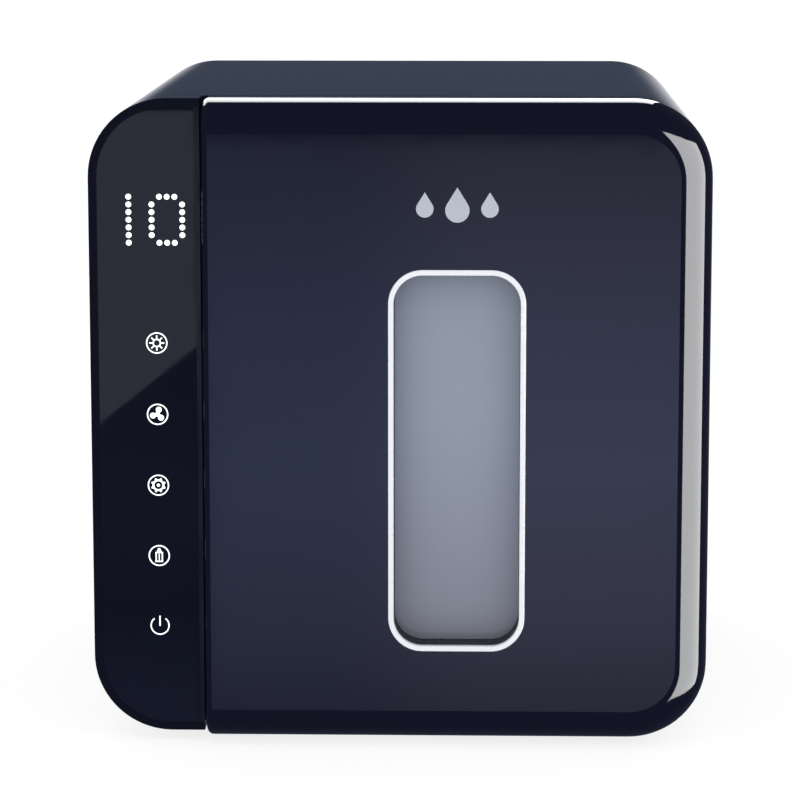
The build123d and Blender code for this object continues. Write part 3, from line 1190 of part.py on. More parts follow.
def make_filter_media():
    """Pleated filter paper."""
    y0 = Y_FILTER + MEDIA_FRONT
    y1 = Y_FILTER_BACK - MEDIA_BACK - MEDIA_THICKNESS
    half = FILTER_SIZE / 2 - FILTER_FRAME - MEDIA_GAP
    folds = spread(-half, half, 2 * PLEATS + 1)
    front = [(x, y0 if i % 2 else y1) for i, x in enumerate(folds)]
    back = [(x, y + MEDIA_THICKNESS) for x, y in reversed(front)]
    sheet = make_face(Polyline(*front, *back, close=True))
    return extrude(Pos(X_CHAMBER, 0, AIR_Z - half) * sheet, 2 * half)


def make_filter_cover():
    """Louvred cover that pulls off the back, with a square spigot that holds the filter."""
    y0 = Y_REAR_INNER
    plate = slab(rounded(X_CHAMBER, AIR_Z, COVER_SIZE, COVER_SIZE, COVER_R), y0, Y_REAR)
    plate = fillet(plate.faces().sort_by(Axis.Y)[-1].outer_wire().edges(), COVER_EDGE_R)
    for shape in vent_shapes(COVER_LOUVRES, FILTER_SIZE - LOUVRE_INSET, LOUVRE_PITCH):
        plate = plate - slab(shape, y0, Y_REAR)
    inner = FILTER_SIZE - 2 * SPIGOT_WALL
    spigot = slab(rounded(X_CHAMBER, AIR_Z, FILTER_SIZE, FILTER_SIZE, FILTER_R), Y_FILTER_BACK, y0)
    spigot = spigot - slab(rounded(X_CHAMBER, AIR_Z, inner, inner, SPIGOT_R), Y_FILTER_BACK, y0)
    z_dimple = AIR_Z + COVER_SIZE / 2 - DIMPLE_UNDER_TOP
    dimple = Pos(X_CHAMBER, z_dimple) * SlotOverall(DIMPLE_LENGTH, DIMPLE_WIDTH)
    return plate + spigot - slab(dimple, Y_REAR - DIMPLE_DEPTH, Y_REAR)


# ---------------------------------------------------------------- electrics
INLET_WALL = 1.7           # beside the mouth
INLET_SHELF = 2.0          # above and below the mouth
INLET_MOUTH_R = 2.0
INLET_FLOOR = 3.0
FLANGE_GAP = 0.05          # flange to its pocket's floor
PIN_W = 2.0
PIN_H = 4.0
PIN_INSET = 5.0            # rear face to the pins' tips
PIN_TAIL = 7.0             # pins behind the inlet
PIN_GRIP = 0.02
INLET_PINS = ((-7.0, -2.0), (7.0, -2.0), (0.0, 2.0))      # places about the inlet's middle, in X and Z


def pin_block(dx, dz, y0, y1, gap):
    """A contact pin's section between two depths, smaller all round by a gap."""
    half_w = PIN_W / 2 - gap
    half_h = PIN_H / 2 - gap
    x, z = INLET_X + dx, INLET_Z + dz
    return block(x - half_w, x + half_w, y0, y1, z - half_h, z + half_h)


def make_mains_inlet():
    """Three-pin appliance inlet in the rear cover."""
    y_flange = Y_REAR - INLET_FLANGE
    y_back = Y_REAR - INLET_DEPTH
    body = slab(rounded(INLET_X, INLET_Z, INLET_W, INLET_H, INLET_R), y_back, y_flange + 0.5)
    flange = rounded(INLET_X, INLET_Z, INLET_FLANGE_W, INLET_FLANGE_H, INLET_FLANGE_R)
    inlet = body + slab(flange, y_flange + FLANGE_GAP, Y_REAR)
    mouth = rounded(INLET_X, INLET_Z, INLET_W - 2 * INLET_WALL, INLET_H - 2 * INLET_SHELF, INLET_MOUTH_R)
    inlet = inlet - slab(mouth, y_back + INLET_FLOOR, Y_REAR)
    for side in (-1, 1):
        x = INLET_X + side * INLET_SCREW_SPACING / 2
        inlet = inlet - disc_y(x, INLET_Z, SCREW_R + SCREW_CLEARANCE, y_flange - 1, Y_REAR)
    for dx, dz in INLET_PINS:
        inlet = inlet - pin_block(dx, dz, y_back - 1, y_back + INLET_FLOOR + 1, 0)
    return inlet


def make_inlet_pins():
    """Flat contact pins."""
    return group(pin_block(dx, dz, Y_REAR - INLET_DEPTH - PIN_TAIL, Y_REAR - PIN_INSET, PIN_GRIP)
                 for dx, dz in INLET_PINS)


BOARD_STANDOFF = 16.0      # casing's left side to the main board
BOARD_FRONT = 40.0         # bezel to the board
BOARD_BACK = 20.0          # board to the chamber's back wall
BOARD_OVER_BASE = 60.0
BOARD_UNDER_TOP = 70.0
BOARD_HOLE_INSET = 6.0
BOARD_HOLE_R = 1.7
STANDOFF_R = 4.0
STANDOFF_NECK_R = 1.5
STANDOFF_HEAD_R = 3.0
STANDOFF_HEAD = 1.9
JOINT_GAP = 0.1            # board to what stands on it

X_BOARD = X_LEFT + BOARD_STANDOFF
BOARD_Y = (Y_BEZEL + BOARD_FRONT, Y_LINER_BACK - BOARD_BACK)
BOARD_Z = (Z_BASE + BOARD_OVER_BASE, Z_TOP - BOARD_UNDER_TOP)
BOARD_HOLES = [(y, z) for y in (BOARD_Y[0] + BOARD_HOLE_INSET, BOARD_Y[1] - BOARD_HOLE_INSET)
               for z in (BOARD_Z[0] + BOARD_HOLE_INSET, BOARD_Z[1] - BOARD_HOLE_INSET)]


def make_main_board():
    """Power and control board, upright in the left bay."""
    board = block(X_BOARD, X_BOARD + BOARD, *BOARD_Y, *BOARD_Z)
    for y, z in BOARD_HOLES:
        board = board - disc_x(y, z, BOARD_HOLE_R, X_BOARD, X_BOARD + BOARD)
    return board


def make_board_standoffs():
    """Pillars between the casing's wall and the board, with their screws."""
    pillars = []
    for y, z in BOARD_HOLES:
        pillar = disc_x(y, z, STANDOFF_R, X_LEFT + CASING_WALL + SEAT_GAP, X_BOARD - SEAT_GAP)
        neck = disc_x(y, z, STANDOFF_NECK_R, X_BOARD - 1, BOARD_FACE + JOINT_GAP)
        head = disc_x(y, z, STANDOFF_HEAD_R, BOARD_FACE, BOARD_FACE + STANDOFF_HEAD)
        pillars.append(join([pillar, neck, head]))
    return group(pillars)


BOARD_FACE = X_BOARD + BOARD + JOINT_GAP
PLUG_SIZE = (10.0, 16.0, 8.0)
DISPLAY_PLUG = (BOARD_Y[0] + 46.0, BOARD_Z[1] - 40.0)     # centres of the board's two plugs, in Y and Z
SUPPLY_PLUG = (BOARD_Y[1] - 12.0, BOARD_Z[0] + 22.0)
TRANSFORMER = (28.0, 34.0, 30.0)                          # sizes along X, Y and Z
TRANSFORMER_AT = (30.0, 30.0)                             # places from the board's low corner, in Y and Z
RELAY = (16.0, 19.0, 15.0)
RELAY_AT = (90.0, 30.0)
CHIP = (2.5, 14.0, 10.0)
CHIPS_AT = ((35.0, 110.0), (61.0, 110.0), (87.0, 110.0))
CAPACITOR_R = 7.0
CAPACITOR_HEIGHT = 22.0
CAPACITORS_AT = ((100.0, 80.0), (118.0, 80.0), (136.0, 80.0))


def make_board_parts():
    """Transformer, relay, capacitors, chips and plugs on the board."""
    boxes = [(TRANSFORMER, TRANSFORMER_AT), (RELAY, RELAY_AT), *((CHIP, place) for place in CHIPS_AT)]
    parts = []
    for (depth, width, height), (dy, dz) in boxes:
        y, z = BOARD_Y[0] + dy, BOARD_Z[0] + dz
        parts.append(block(BOARD_FACE, BOARD_FACE + depth, y, y + width, z, z + height))
    top = BOARD_FACE + CAPACITOR_HEIGHT
    for dy, dz in CAPACITORS_AT:
        parts.append(disc_x(BOARD_Y[0] + dy, BOARD_Z[0] + dz, CAPACITOR_R, BOARD_FACE, top))
    depth, width, height = PLUG_SIZE
    for y, z in (DISPLAY_PLUG, SUPPLY_PLUG):
        y0, z0 = y - width / 2, z - height / 2
        parts.append(block(BOARD_FACE, BOARD_FACE + depth, y0, y0 + width, z0, z0 + height))
    return group(parts)


BALLAST_FRONT = 60.0       # bezel to the ballast
BALLAST_LENGTH = 90.0
BALLAST_HEIGHT = 26.0
BALLAST_LIFT = 10.0
BALLAST_SIDE_GAP = 8.0     # ballast to the chamber
BALLAST_FOOT = 8.0
BALLAST_FOOT_INSET = 6.0
BALLAST_EDGE_R = 2.0


def make_lamp_ballast():
    """Electronic ballast of the lamps, on the floor of the left bay."""
    z0 = Z_BASE + CASING_WALL + SEAT_GAP
    z1 = z0 + BALLAST_LIFT
    y0 = Y_BEZEL + BALLAST_FRONT
    y1 = y0 + BALLAST_LENGTH
    x0 = X_LEFT + CORNER_R
    x1 = X_LINER_L - LINER_WALL - BALLAST_SIDE_GAP
    case = block(x0, x1, y0, y1, z1, z1 + BALLAST_HEIGHT)
    case = fillet(case.edges().filter_by(Axis.Y), BALLAST_EDGE_R)
    feet = [block(x0, x1, y, y + BALLAST_FOOT, z0, z1 + BALLAST_EDGE_R)
            for y in (y0 + BALLAST_FOOT_INSET, y1 - BALLAST_FOOT_INSET - BALLAST_FOOT)]
    return join([case, *feet])


HARNESS_R = 2.2
HARNESS_BEND = 6.0
HARNESS_GAP = 0.2          # sleeve's ends to what they plug into
HARNESS_OUT = 18.0         # plugs to the stretch along the board
INLET_TAIL_GAP = 0.5
DISPLAY_EXIT = 8.0         # display's plug to the height where its wires leave


def harness_run(points):
    """Round sleeve of wires along straight runs joined by arcs."""
    path = FilletPolyline(*points, radius=HARNESS_BEND)
    section = Plane(origin=path @ 0, z_dir=path % 0) * Circle(HARNESS_R)
    return sweep(section, path=path)


def make_wiring():
    """Sleeved wires: from the inlet to the board, and from the display to the board."""
    x_plug = BOARD_FACE + PLUG_SIZE[0] + HARNESS_GAP
    x_out = x_plug + HARNESS_OUT
    y_inlet = Y_REAR - INLET_DEPTH - PIN_TAIL - INLET_TAIL_GAP
    y, z = SUPPLY_PLUG
    supply = harness_run([(INLET_X, y_inlet, INLET_Z), (INLET_X, Y_BULKHEAD + 14, INLET_Z),
                          (x_out, Y_BULKHEAD - 4, z), (x_out, y, z), (x_plug, y, z)])
    y, z = DISPLAY_PLUG
    x_touch = X_LEFT + TOUCH_X
    z_exit = z - DISPLAY_EXIT
    display = harness_run([(x_touch, Y_BOARD + BOARD + HARNESS_GAP, z_exit), (x_touch, Y_BEZEL + 20, z_exit),
                           (x_out, y, z), (x_plug, y, z)])
    return group([supply, display])


# ---------------------------------------------------------------- build
def all_parts():
    """Every node's name and shape."""
    return {
        "outer_casing": make_outer_casing(),
        "rear_cover": make_rear_cover(),
        "feet": make_feet(),
        "rear_screws": make_rear_screws(),
        "front_bezel": make_front_bezel(),
        "door_seal": make_door_seal(),
        "latch_magnets": make_latch_magnets(),
        "switch_body": make_switch_body(),
        "switch_plunger": make_switch_plunger(),
        "switch_spring": make_switch_spring(),
        "hinge_bracket_lower": make_hinge_bracket(HINGE_HEIGHTS[0]),
        "hinge_bracket_upper": make_hinge_bracket(HINGE_HEIGHTS[1]),
        "hinge_pins": make_hinge_pins(),
        "hinge_screws": make_hinge_screws(),
        "door_cover": make_door_cover(),
        "window_trim": make_window_trim(),
        "window_tunnel": make_window_tunnel(),
        "window_pane": make_window_pane(),
        "inner_pane": make_inner_pane(),
        "door_inner_panel": make_door_inner_panel(),
        "strike_plates": make_strike_plates(),
        "door_badge": make_door_badge(),
        "control_housing": make_control_housing(),
        "control_lens": make_control_lens(),
        "display_board": make_display_board(),
        "display_leds": make_display_leds(),
        "touch_pads": make_touch_pads(),
        "chamber_liner": make_chamber_liner(),
        "rack_rails": make_rack_rails(),
        "bottle_rack": make_bottle_rack(),
        "drip_tray": make_drip_tray(),
        "lamp_sockets": make_lamp_sockets(),
        "uv_lamp_upper": make_lamp_tube(*UPPER_LAMP),
        "uv_lamp_lower": make_lamp_tube(*LOWER_LAMP),
        "lamp_caps": make_lamp_caps(),
        "lamp_reflectors": make_lamp_reflectors(),
        "lamp_guards": make_lamp_guards(),
        "bulkhead": make_bulkhead(),
        "heater_frame": make_heater_frame(),
        "heater_element": make_heater_element(),
        "fan_frame": make_fan_frame(),
        "fan_impeller": make_fan_impeller(),
        "fan_screws": make_fan_screws(),
        "filter_duct": make_filter_duct(),
        "filter_frame": make_filter_frame(),
        "filter_media": make_filter_media(),
        "filter_cover": make_filter_cover(),
        "mains_inlet": make_mains_inlet(),
        "inlet_pins": make_inlet_pins(),
        "main_board": make_main_board(),
        "board_standoffs": make_board_standoffs(),
        "board_parts": make_board_parts(),
        "lamp_ballast": make_lamp_ballast(),
        "wiring": make_wiring(),
    }


os.makedirs("parts", exist_ok=True)
for name, shape in all_parts().items():
    export_step(shape, f"parts/{name}.step")
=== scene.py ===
import bpy
import bmesh
import json
import math
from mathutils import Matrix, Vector


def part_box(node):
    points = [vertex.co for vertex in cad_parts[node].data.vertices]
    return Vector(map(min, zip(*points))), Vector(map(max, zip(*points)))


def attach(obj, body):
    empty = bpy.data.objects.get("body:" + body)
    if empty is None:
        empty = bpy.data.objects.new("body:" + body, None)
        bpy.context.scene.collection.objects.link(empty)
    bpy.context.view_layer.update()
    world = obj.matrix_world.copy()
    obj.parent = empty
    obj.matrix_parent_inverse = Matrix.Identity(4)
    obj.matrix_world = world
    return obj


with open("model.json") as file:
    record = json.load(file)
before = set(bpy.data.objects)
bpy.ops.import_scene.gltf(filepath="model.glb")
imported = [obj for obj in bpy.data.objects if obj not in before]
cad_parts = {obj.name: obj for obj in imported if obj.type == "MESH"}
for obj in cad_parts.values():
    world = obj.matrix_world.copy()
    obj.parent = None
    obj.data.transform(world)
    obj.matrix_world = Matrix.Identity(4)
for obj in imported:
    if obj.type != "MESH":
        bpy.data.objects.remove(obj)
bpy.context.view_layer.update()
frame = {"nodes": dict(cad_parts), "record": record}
nodes = frame["nodes"]
MM = 0.001


# ------------------------------------------------------------------ places read from the frame
def corners(node):
    """Lowest and highest corner of a CAD node, in metres."""
    low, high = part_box(node)
    return Vector(low), Vector(high)


LENS_LOW, LENS_HIGH = corners("control_lens")
LED_LOW, LED_HIGH = corners("display_leds")
PAD_LOW, PAD_HIGH = corners("touch_pads")
DOOR_LOW, DOOR_HIGH = corners("door_cover")
PANE_LOW, PANE_HIGH = corners("window_pane")
Y_LENS = LENS_LOW.y
Y_DOOR = DOOR_LOW.y


# ------------------------------------------------------------------ camera
CAMERA_AT = Vector((40.5, -1727.5, 427.1)) * MM
CAMERA_PITCH = math.radians(9.235)
CAMERA_YAW = math.radians(1.465)
CAMERA_LENS = 148.72


def make_camera():
    """Long lens, a little above the object and a little to its right."""
    data = bpy.data.cameras.new("camera")
    data.sensor_width = 36
    data.lens = CAMERA_LENS
    data.clip_start = 0.05
    data.clip_end = 50
    camera = bpy.data.objects.new("camera", data)
    bpy.context.scene.collection.objects.link(camera)
    flat = math.cos(CAMERA_PITCH)
    forward = Vector((-math.sin(CAMERA_YAW) * flat, math.cos(CAMERA_YAW) * flat, -math.sin(CAMERA_PITCH)))
    camera.location = CAMERA_AT
    camera.rotation_mode = "QUATERNION"
    camera.rotation_quaternion = forward.to_track_quat("-Z", "Y")
    bpy.context.scene.camera = camera


make_camera()


# ------------------------------------------------------------------ node helpers
class Graph:
    """Small helper round one material's node tree."""

    def __init__(self, name):
        self.material = bpy.data.materials.new(name)
        self.material.use_nodes = True
        self.nodes = self.material.node_tree.nodes
        self.links = self.material.node_tree.links
        self.shader = self.nodes["Principled BSDF"]
        self.place = self.nodes.new("ShaderNodeTexCoord")

    def link(self, output, target):
        self.links.new(output, target)

    def noise(self, scale, detail=3.0, roughness=0.5, stretch=(1, 1, 1)):
        """Noise in object space. Scale is in features per metre."""
        mapping = self.nodes.new("ShaderNodeMapping")
        mapping.inputs["Scale"].default_value = stretch
        self.link(self.place.outputs["Object"], mapping.inputs["Vector"])
        noise = self.nodes.new("ShaderNodeTexNoise")
        noise.inputs["Scale"].default_value = scale
        noise.inputs["Detail"].default_value = detail
        noise.inputs["Roughness"].default_value = roughness
        self.link(mapping.outputs["Vector"], noise.inputs["Vector"])
        return noise.outputs["Fac"]

    def spread(self, value, low, high, start=0.3, end=0.7):
        """Maps a 0 to 1 value onto a range."""
        node = self.nodes.new("ShaderNodeMapRange")
        node.inputs["From Min"].default_value = start
        node.inputs["From Max"].default_value = end
        node.inputs["To Min"].default_value = low
        node.inputs["To Max"].default_value = high
        self.link(value, node.inputs["Value"])
        return node.outputs["Result"]

    def blend(self, value, first, second):
        """Colour between two others."""
        node = self.nodes.new("ShaderNodeMix")
        node.data_type = "RGBA"
        node.inputs["A"].default_value = (*first, 1)
        node.inputs["B"].default_value = (*second, 1)
        self.link(value, node.inputs["Factor"])
        return node.outputs["Result"]

    def bump(self, value, strength, distance):
        """Adds a bump, on top of the one before it."""
        node = self.nodes.new("ShaderNodeBump")
        node.inputs["Strength"].default_value = strength
        node.inputs["Distance"].default_value = distance
        self.link(value, node.inputs["Height"])
        normal = self.shader.inputs["Normal"]
        if normal.is_linked:
            self.link(normal.links[0].from_socket, node.inputs["Normal"])
        self.link(node.outputs["Normal"], normal)

    def set(self, **values):
        """Sets sockets by their names, with underscores for spaces."""
        for key, value in values.items():
            self.shader.inputs[key.replace("_", " ")].default_value = value


def tint(colour, share):
    """Colour made lighter or darker."""
    return tuple(channel * share for channel in colour)


def fill_ramp(ramp, stops):
    """Sets a colour ramp's stops, given as a place from 0 to 1 and a colour, the first at 0 and the last at 1."""
    elements = ramp.color_ramp.elements
    for place, colour in stops[1:-1]:
        elements.new(place).color = (*colour, 1)
    elements[0].color = (*stops[0][1], 1)
    elements[-1].color = (*stops[-1][1], 1)


# ------------------------------------------------------------------ materials
def gloss_plastic(name, colour, rough=(0.035, 0.075), mottle=0.12, waviness=0.02):
    """Polished moulded plastic: faint flow marks, a trace of orange peel and uneven polish."""
    g = Graph(name)
    flow = g.noise(14, 2, stretch=(1, 1, 2.5))
    g.link(g.blend(flow, tint(colour, 1 - mottle), tint(colour, 1 + mottle)), g.shader.inputs["Base Color"])
    smears = g.noise(38, 5, 0.6)
    g.link(g.spread(smears, rough[0], rough[1]), g.shader.inputs["Roughness"])
    g.set(IOR=1.5)
    g.bump(g.noise(60, 1), waviness, 0.0004)
    g.bump(g.noise(420, 1), waviness * 0.6, 0.00006)
    return g.material


def satin_plastic(name, colour, rough=(0.38, 0.52)):
    """Moulded plastic with a fine spark-eroded grain."""
    g = Graph(name)
    cloud = g.noise(22, 3)
    g.link(g.blend(cloud, tint(colour, 0.92), tint(colour, 1.08)), g.shader.inputs["Base Color"])
    g.link(g.spread(g.noise(70, 4), rough[0], rough[1]), g.shader.inputs["Roughness"])
    g.bump(g.noise(900, 2, 0.6), 0.12, 0.0002)
    return g.material


def rubber(name, colour):
    """Dull rubber with a dusty bloom."""
    g = Graph(name)
    bloom = g.noise(55, 5, 0.65)
    g.link(g.blend(bloom, tint(colour, 0.8), tint(colour, 1.5)), g.shader.inputs["Base Color"])
    g.link(g.spread(bloom, 0.6, 0.82), g.shader.inputs["Roughness"])
    g.bump(g.noise(700, 2), 0.25, 0.0002)
    return g.material


def brushed_metal(name, colour, stretch, rough=(0.2, 0.36)):
    """Metal with brush lines along the axis that the stretch leaves long."""
    g = Graph(name)
    lines = g.noise(26, 4, 0.7, stretch)
    g.link(g.blend(lines, tint(colour, 0.86), tint(colour, 1.06)), g.shader.inputs["Base Color"])
    g.link(g.spread(lines, rough[0], rough[1]), g.shader.inputs["Roughness"])
    g.set(Metallic=1.0)
    g.bump(lines, 0.08, 0.00015)
    return g.material


def polished_metal(name, colour, rough=(0.08, 0.2)):
    """Plated or polished metal with uneven sheen."""
    g = Graph(name)
    smears = g.noise(45, 5, 0.65)
    g.link(g.blend(smears, tint(colour, 0.9), colour), g.shader.inputs["Base Color"])
    g.link(g.spread(smears, rough[0], rough[1]), g.shader.inputs["Roughness"])
    g.set(Metallic=1.0)
    g.bump(g.noise(350, 2), 0.04, 0.0001)
    return g.material


def satin_silver_and_painted_reflection(name, colour, metallic=0.55, depth=0.02):
    """Silver finish that still scatters light. On the window trim its near-white colour is partly its own silver and
    partly painted reflection, standing in for the bright surroundings that the chrome mirrors.
    """
    g = Graph(name)
    flow = g.noise(30, 3, stretch=(1, 1, 3))
    g.link(g.blend(flow, tint(colour, 0.95), tint(colour, 1.03)), g.shader.inputs["Base Color"])
    g.link(g.spread(g.noise(80, 4), 0.22, 0.34), g.shader.inputs["Roughness"])
    g.set(Metallic=metallic)
    g.bump(g.noise(600, 2), depth, 0.0001)
    return g.material


def glass(name, colour):
    """Clear glass or quartz with faint smears."""
    g = Graph(name)
    smears = g.noise(30, 5, 0.6)
    g.link(g.blend(smears, tint(colour, 0.96), colour), g.shader.inputs["Base Color"])
    g.link(g.spread(smears, 0.01, 0.05), g.shader.inputs["Roughness"])
    g.set(Transmission_Weight=1.0, IOR=1.48)
    return g.material


# Painted reflection on the window pane: bright grey colours by height stand in for the light it mirrors, darker
# towards the lower end.
PANE_PAINTED_REFLECTION = (    # share of the pane's height, colour
    (0.0, (0.285, 0.295, 0.355)),
    (0.22, (0.300, 0.325, 0.392)),
    (0.62, (0.358, 0.400, 0.480)),
    (0.86, (0.365, 0.408, 0.492)),
    (1.0, (0.350, 0.392, 0.480)),
)


def smoked_pane_painted_reflection(name):
    """Smoky grey window under a polished surface. Its colour is painted reflection: a bright grey that stands in for
    the light the pane mirrors, lighter in the upper part and darker towards its lower end.
    """
    g = Graph(name)
    axes = g.nodes.new("ShaderNodeSeparateXYZ")
    g.link(g.place.outputs["Object"], axes.inputs["Vector"])
    height = g.spread(axes.outputs["Z"], 0, 1, PANE_LOW.z, PANE_HIGH.z)
    ramp = g.nodes.new("ShaderNodeValToRGB")
    fill_ramp(ramp, PANE_PAINTED_REFLECTION)
    g.link(height, ramp.inputs["Fac"])
    g.link(ramp.outputs["Color"], g.shader.inputs["Base Color"])
    g.link(g.spread(g.noise(24, 5, 0.6), 0.05, 0.12), g.shader.inputs["Roughness"])
    g.set(Transmission_Weight=0.22, IOR=1.5)
    return g.material


def printed_white(name, strength):
    """Lit white print behind a clear surface."""
    g = Graph(name)
    uneven = g.noise(900, 2)
    colour = g.blend(uneven, (0.9, 0.92, 0.96), (1, 1, 1))
    g.link(colour, g.shader.inputs["Base Color"])
    g.link(colour, g.shader.inputs["Emission Color"])
    g.set(Emission_Strength=strength, Roughness=0.4)
    return g.material


def circuit_board(name):
    """Green solder resist with copper tracks that show through."""
    g = Graph(name)
    tracks = g.nodes.new("ShaderNodeTexBrick")
    tracks.inputs["Scale"].default_value = 120
    tracks.inputs["Mortar Size"].default_value = 0.06
    tracks.inputs["Color1"].default_value = (0.012, 0.1, 0.035, 1)
    tracks.inputs["Color2"].default_value = (0.01, 0.075, 0.028, 1)
    tracks.inputs["Mortar"].default_value = (0.05, 0.2, 0.07, 1)
    turn = g.nodes.new("ShaderNodeMapping")
    turn.inputs["Rotation"].default_value = (0, math.radians(90), 0)
    g.link(g.place.outputs["Object"], turn.inputs["Vector"])
    g.link(turn.outputs["Vector"], tracks.inputs["Vector"])
    g.link(tracks.outputs["Color"], g.shader.inputs["Base Color"])
    g.link(g.spread(g.noise(60), 0.25, 0.4), g.shader.inputs["Roughness"])
    g.bump(tracks.outputs["Fac"], 0.2, 0.0001)
    return g.material


def filter_paper(name):
    """Fibrous off-white filter sheet."""
    g = Graph(name)
    fibres = g.noise(320, 6, 0.75, (1, 1, 0.35))
    g.link(g.blend(fibres, (0.5, 0.5, 0.47), (0.86, 0.86, 0.83)), g.shader.inputs["Base Color"])
    g.set(Roughness=0.95, Sheen_Weight=0.3)
    g.bump(fibres, 0.5, 0.0004)
    return g.material


def woven_sleeve(name):
    """Braided sleeve round the wires."""
    g = Graph(name)
    weave = g.nodes.new("ShaderNodeTexVoronoi")
    weave.inputs["Scale"].default_value = 900
    g.link(g.place.outputs["Object"], weave.inputs["Vector"])
    shade = g.blend(weave.outputs["Distance"], (0.01, 0.01, 0.011), (0.05, 0.05, 0.055))
    g.link(shade, g.shader.inputs["Base Color"])
    g.set(Roughness=0.7)
    g.bump(weave.outputs["Distance"], 0.6, 0.0003)
    return g.material


NAVY = (0.0042, 0.0050, 0.0145)
PANEL_NAVY = (0.0032, 0.0038, 0.0105)
LENS_BLACK = (0.0013, 0.0016, 0.0062)

ALONG_X = (1, 40, 40)
ALONG_Y = (40, 1, 40)
ALONG_Z = (40, 40, 1)

FINISHES = {
    "casing_plastic": gloss_plastic("casing_plastic", NAVY),
    "door_plastic": gloss_plastic("door_plastic", NAVY),
    "panel_plastic": gloss_plastic("panel_plastic", PANEL_NAVY),
    "panel_lens": gloss_plastic("panel_lens", LENS_BLACK, (0.012, 0.03), 0.08, 0.004),
    "bezel_plastic": satin_plastic("bezel_plastic", (0.012, 0.013, 0.02)),
    "inner_panel_plastic": satin_plastic("inner_panel_plastic", (0.13, 0.14, 0.165)),
    "tunnel_plastic": satin_plastic("tunnel_plastic", (0.0035, 0.004, 0.009), (0.25, 0.35)),
    "foot_rubber": rubber("foot_rubber", (0.018, 0.018, 0.02)),
    "seal_rubber": rubber("seal_rubber", (0.09, 0.09, 0.1)),
    "pad_rubber": rubber("pad_rubber", (0.25, 0.25, 0.27)),
    "screw_steel": polished_metal("screw_steel", (0.45, 0.45, 0.47), (0.22, 0.4)),
    "hinge_steel": brushed_metal("hinge_steel", (0.5, 0.5, 0.52), ALONG_Z),
    "spring_steel": polished_metal("spring_steel", (0.5, 0.5, 0.52)),
    "magnet": polished_metal("magnet", (0.5, 0.5, 0.52), (0.2, 0.35)),
    "switch_plastic": satin_plastic("switch_plastic", (0.015, 0.015, 0.016)),
    "plunger_plastic": satin_plastic("plunger_plastic", (0.6, 0.6, 0.57)),
    # Window trim: near-white colour, partly its own silver and partly painted reflection of bright surroundings.
    "trim_chrome": satin_silver_and_painted_reflection("trim_chrome", (0.95, 0.96, 0.99), 0.12, 0.004),
    "badge_silver": satin_silver_and_painted_reflection("badge_silver", (0.66, 0.70, 0.74), 0.35),
    "smoked_glass": smoked_pane_painted_reflection("smoked_glass"),
    "clear_glass": glass("clear_glass", (0.93, 0.95, 0.97)),
    "circuit_board": circuit_board("circuit_board"),
    "led_white": satin_plastic("led_white", (0.8, 0.8, 0.82)),
    "liner_steel": brushed_metal("liner_steel", (0.60, 0.60, 0.62), ALONG_Y),
    "rail_plastic": satin_plastic("rail_plastic", (0.5, 0.51, 0.53)),
    "rack_steel": polished_metal("rack_steel", (0.72, 0.72, 0.75)),
    "tray_plastic": satin_plastic("tray_plastic", (0.55, 0.57, 0.60), (0.28, 0.4)),
    "socket_plastic": satin_plastic("socket_plastic", (0.7, 0.7, 0.68)),
    "lamp_quartz": glass("lamp_quartz", (0.93, 0.95, 1.0)),
    "lamp_cap_metal": polished_metal("lamp_cap_metal", (0.7, 0.7, 0.72), (0.2, 0.32)),
    "reflector_aluminium": brushed_metal("reflector_aluminium", (0.82, 0.82, 0.84), ALONG_X, (0.12, 0.24)),
    "heater_plastic": satin_plastic("heater_plastic", (0.6, 0.56, 0.45)),
    "heater_aluminium": brushed_metal("heater_aluminium", (0.65, 0.65, 0.66), ALONG_Z),
    "fan_plastic": satin_plastic("fan_plastic", (0.014, 0.014, 0.015)),
    "filter_plastic": satin_plastic("filter_plastic", (0.65, 0.65, 0.65)),
    "filter_paper": filter_paper("filter_paper"),
    "inlet_plastic": satin_plastic("inlet_plastic", (0.010, 0.010, 0.011)),
    "pin_brass": polished_metal("pin_brass", (0.72, 0.62, 0.4)),
    "component_plastic": satin_plastic("component_plastic", (0.05, 0.05, 0.06)),
    "wire_sleeve": woven_sleeve("wire_sleeve"),
    "touch_print": printed_white("touch_print", 0.75),
    "display_light": printed_white("display_light", 0.9),
}

for part in frame["record"]["subparts"]:
    node_object = nodes[part["node"]]
    for place in node_object.material_slots:
        place.material = FINISHES[part["material_slot"]]


# ------------------------------------------------------------------ flat shapes on the touch panel
PRINT_THICKNESS = 0.05 * MM
LINE = 0.62 * MM
RING_R = 4.9 * MM
ARC_STEPS = 48    # in a whole turn
DISC_STEPS = 24


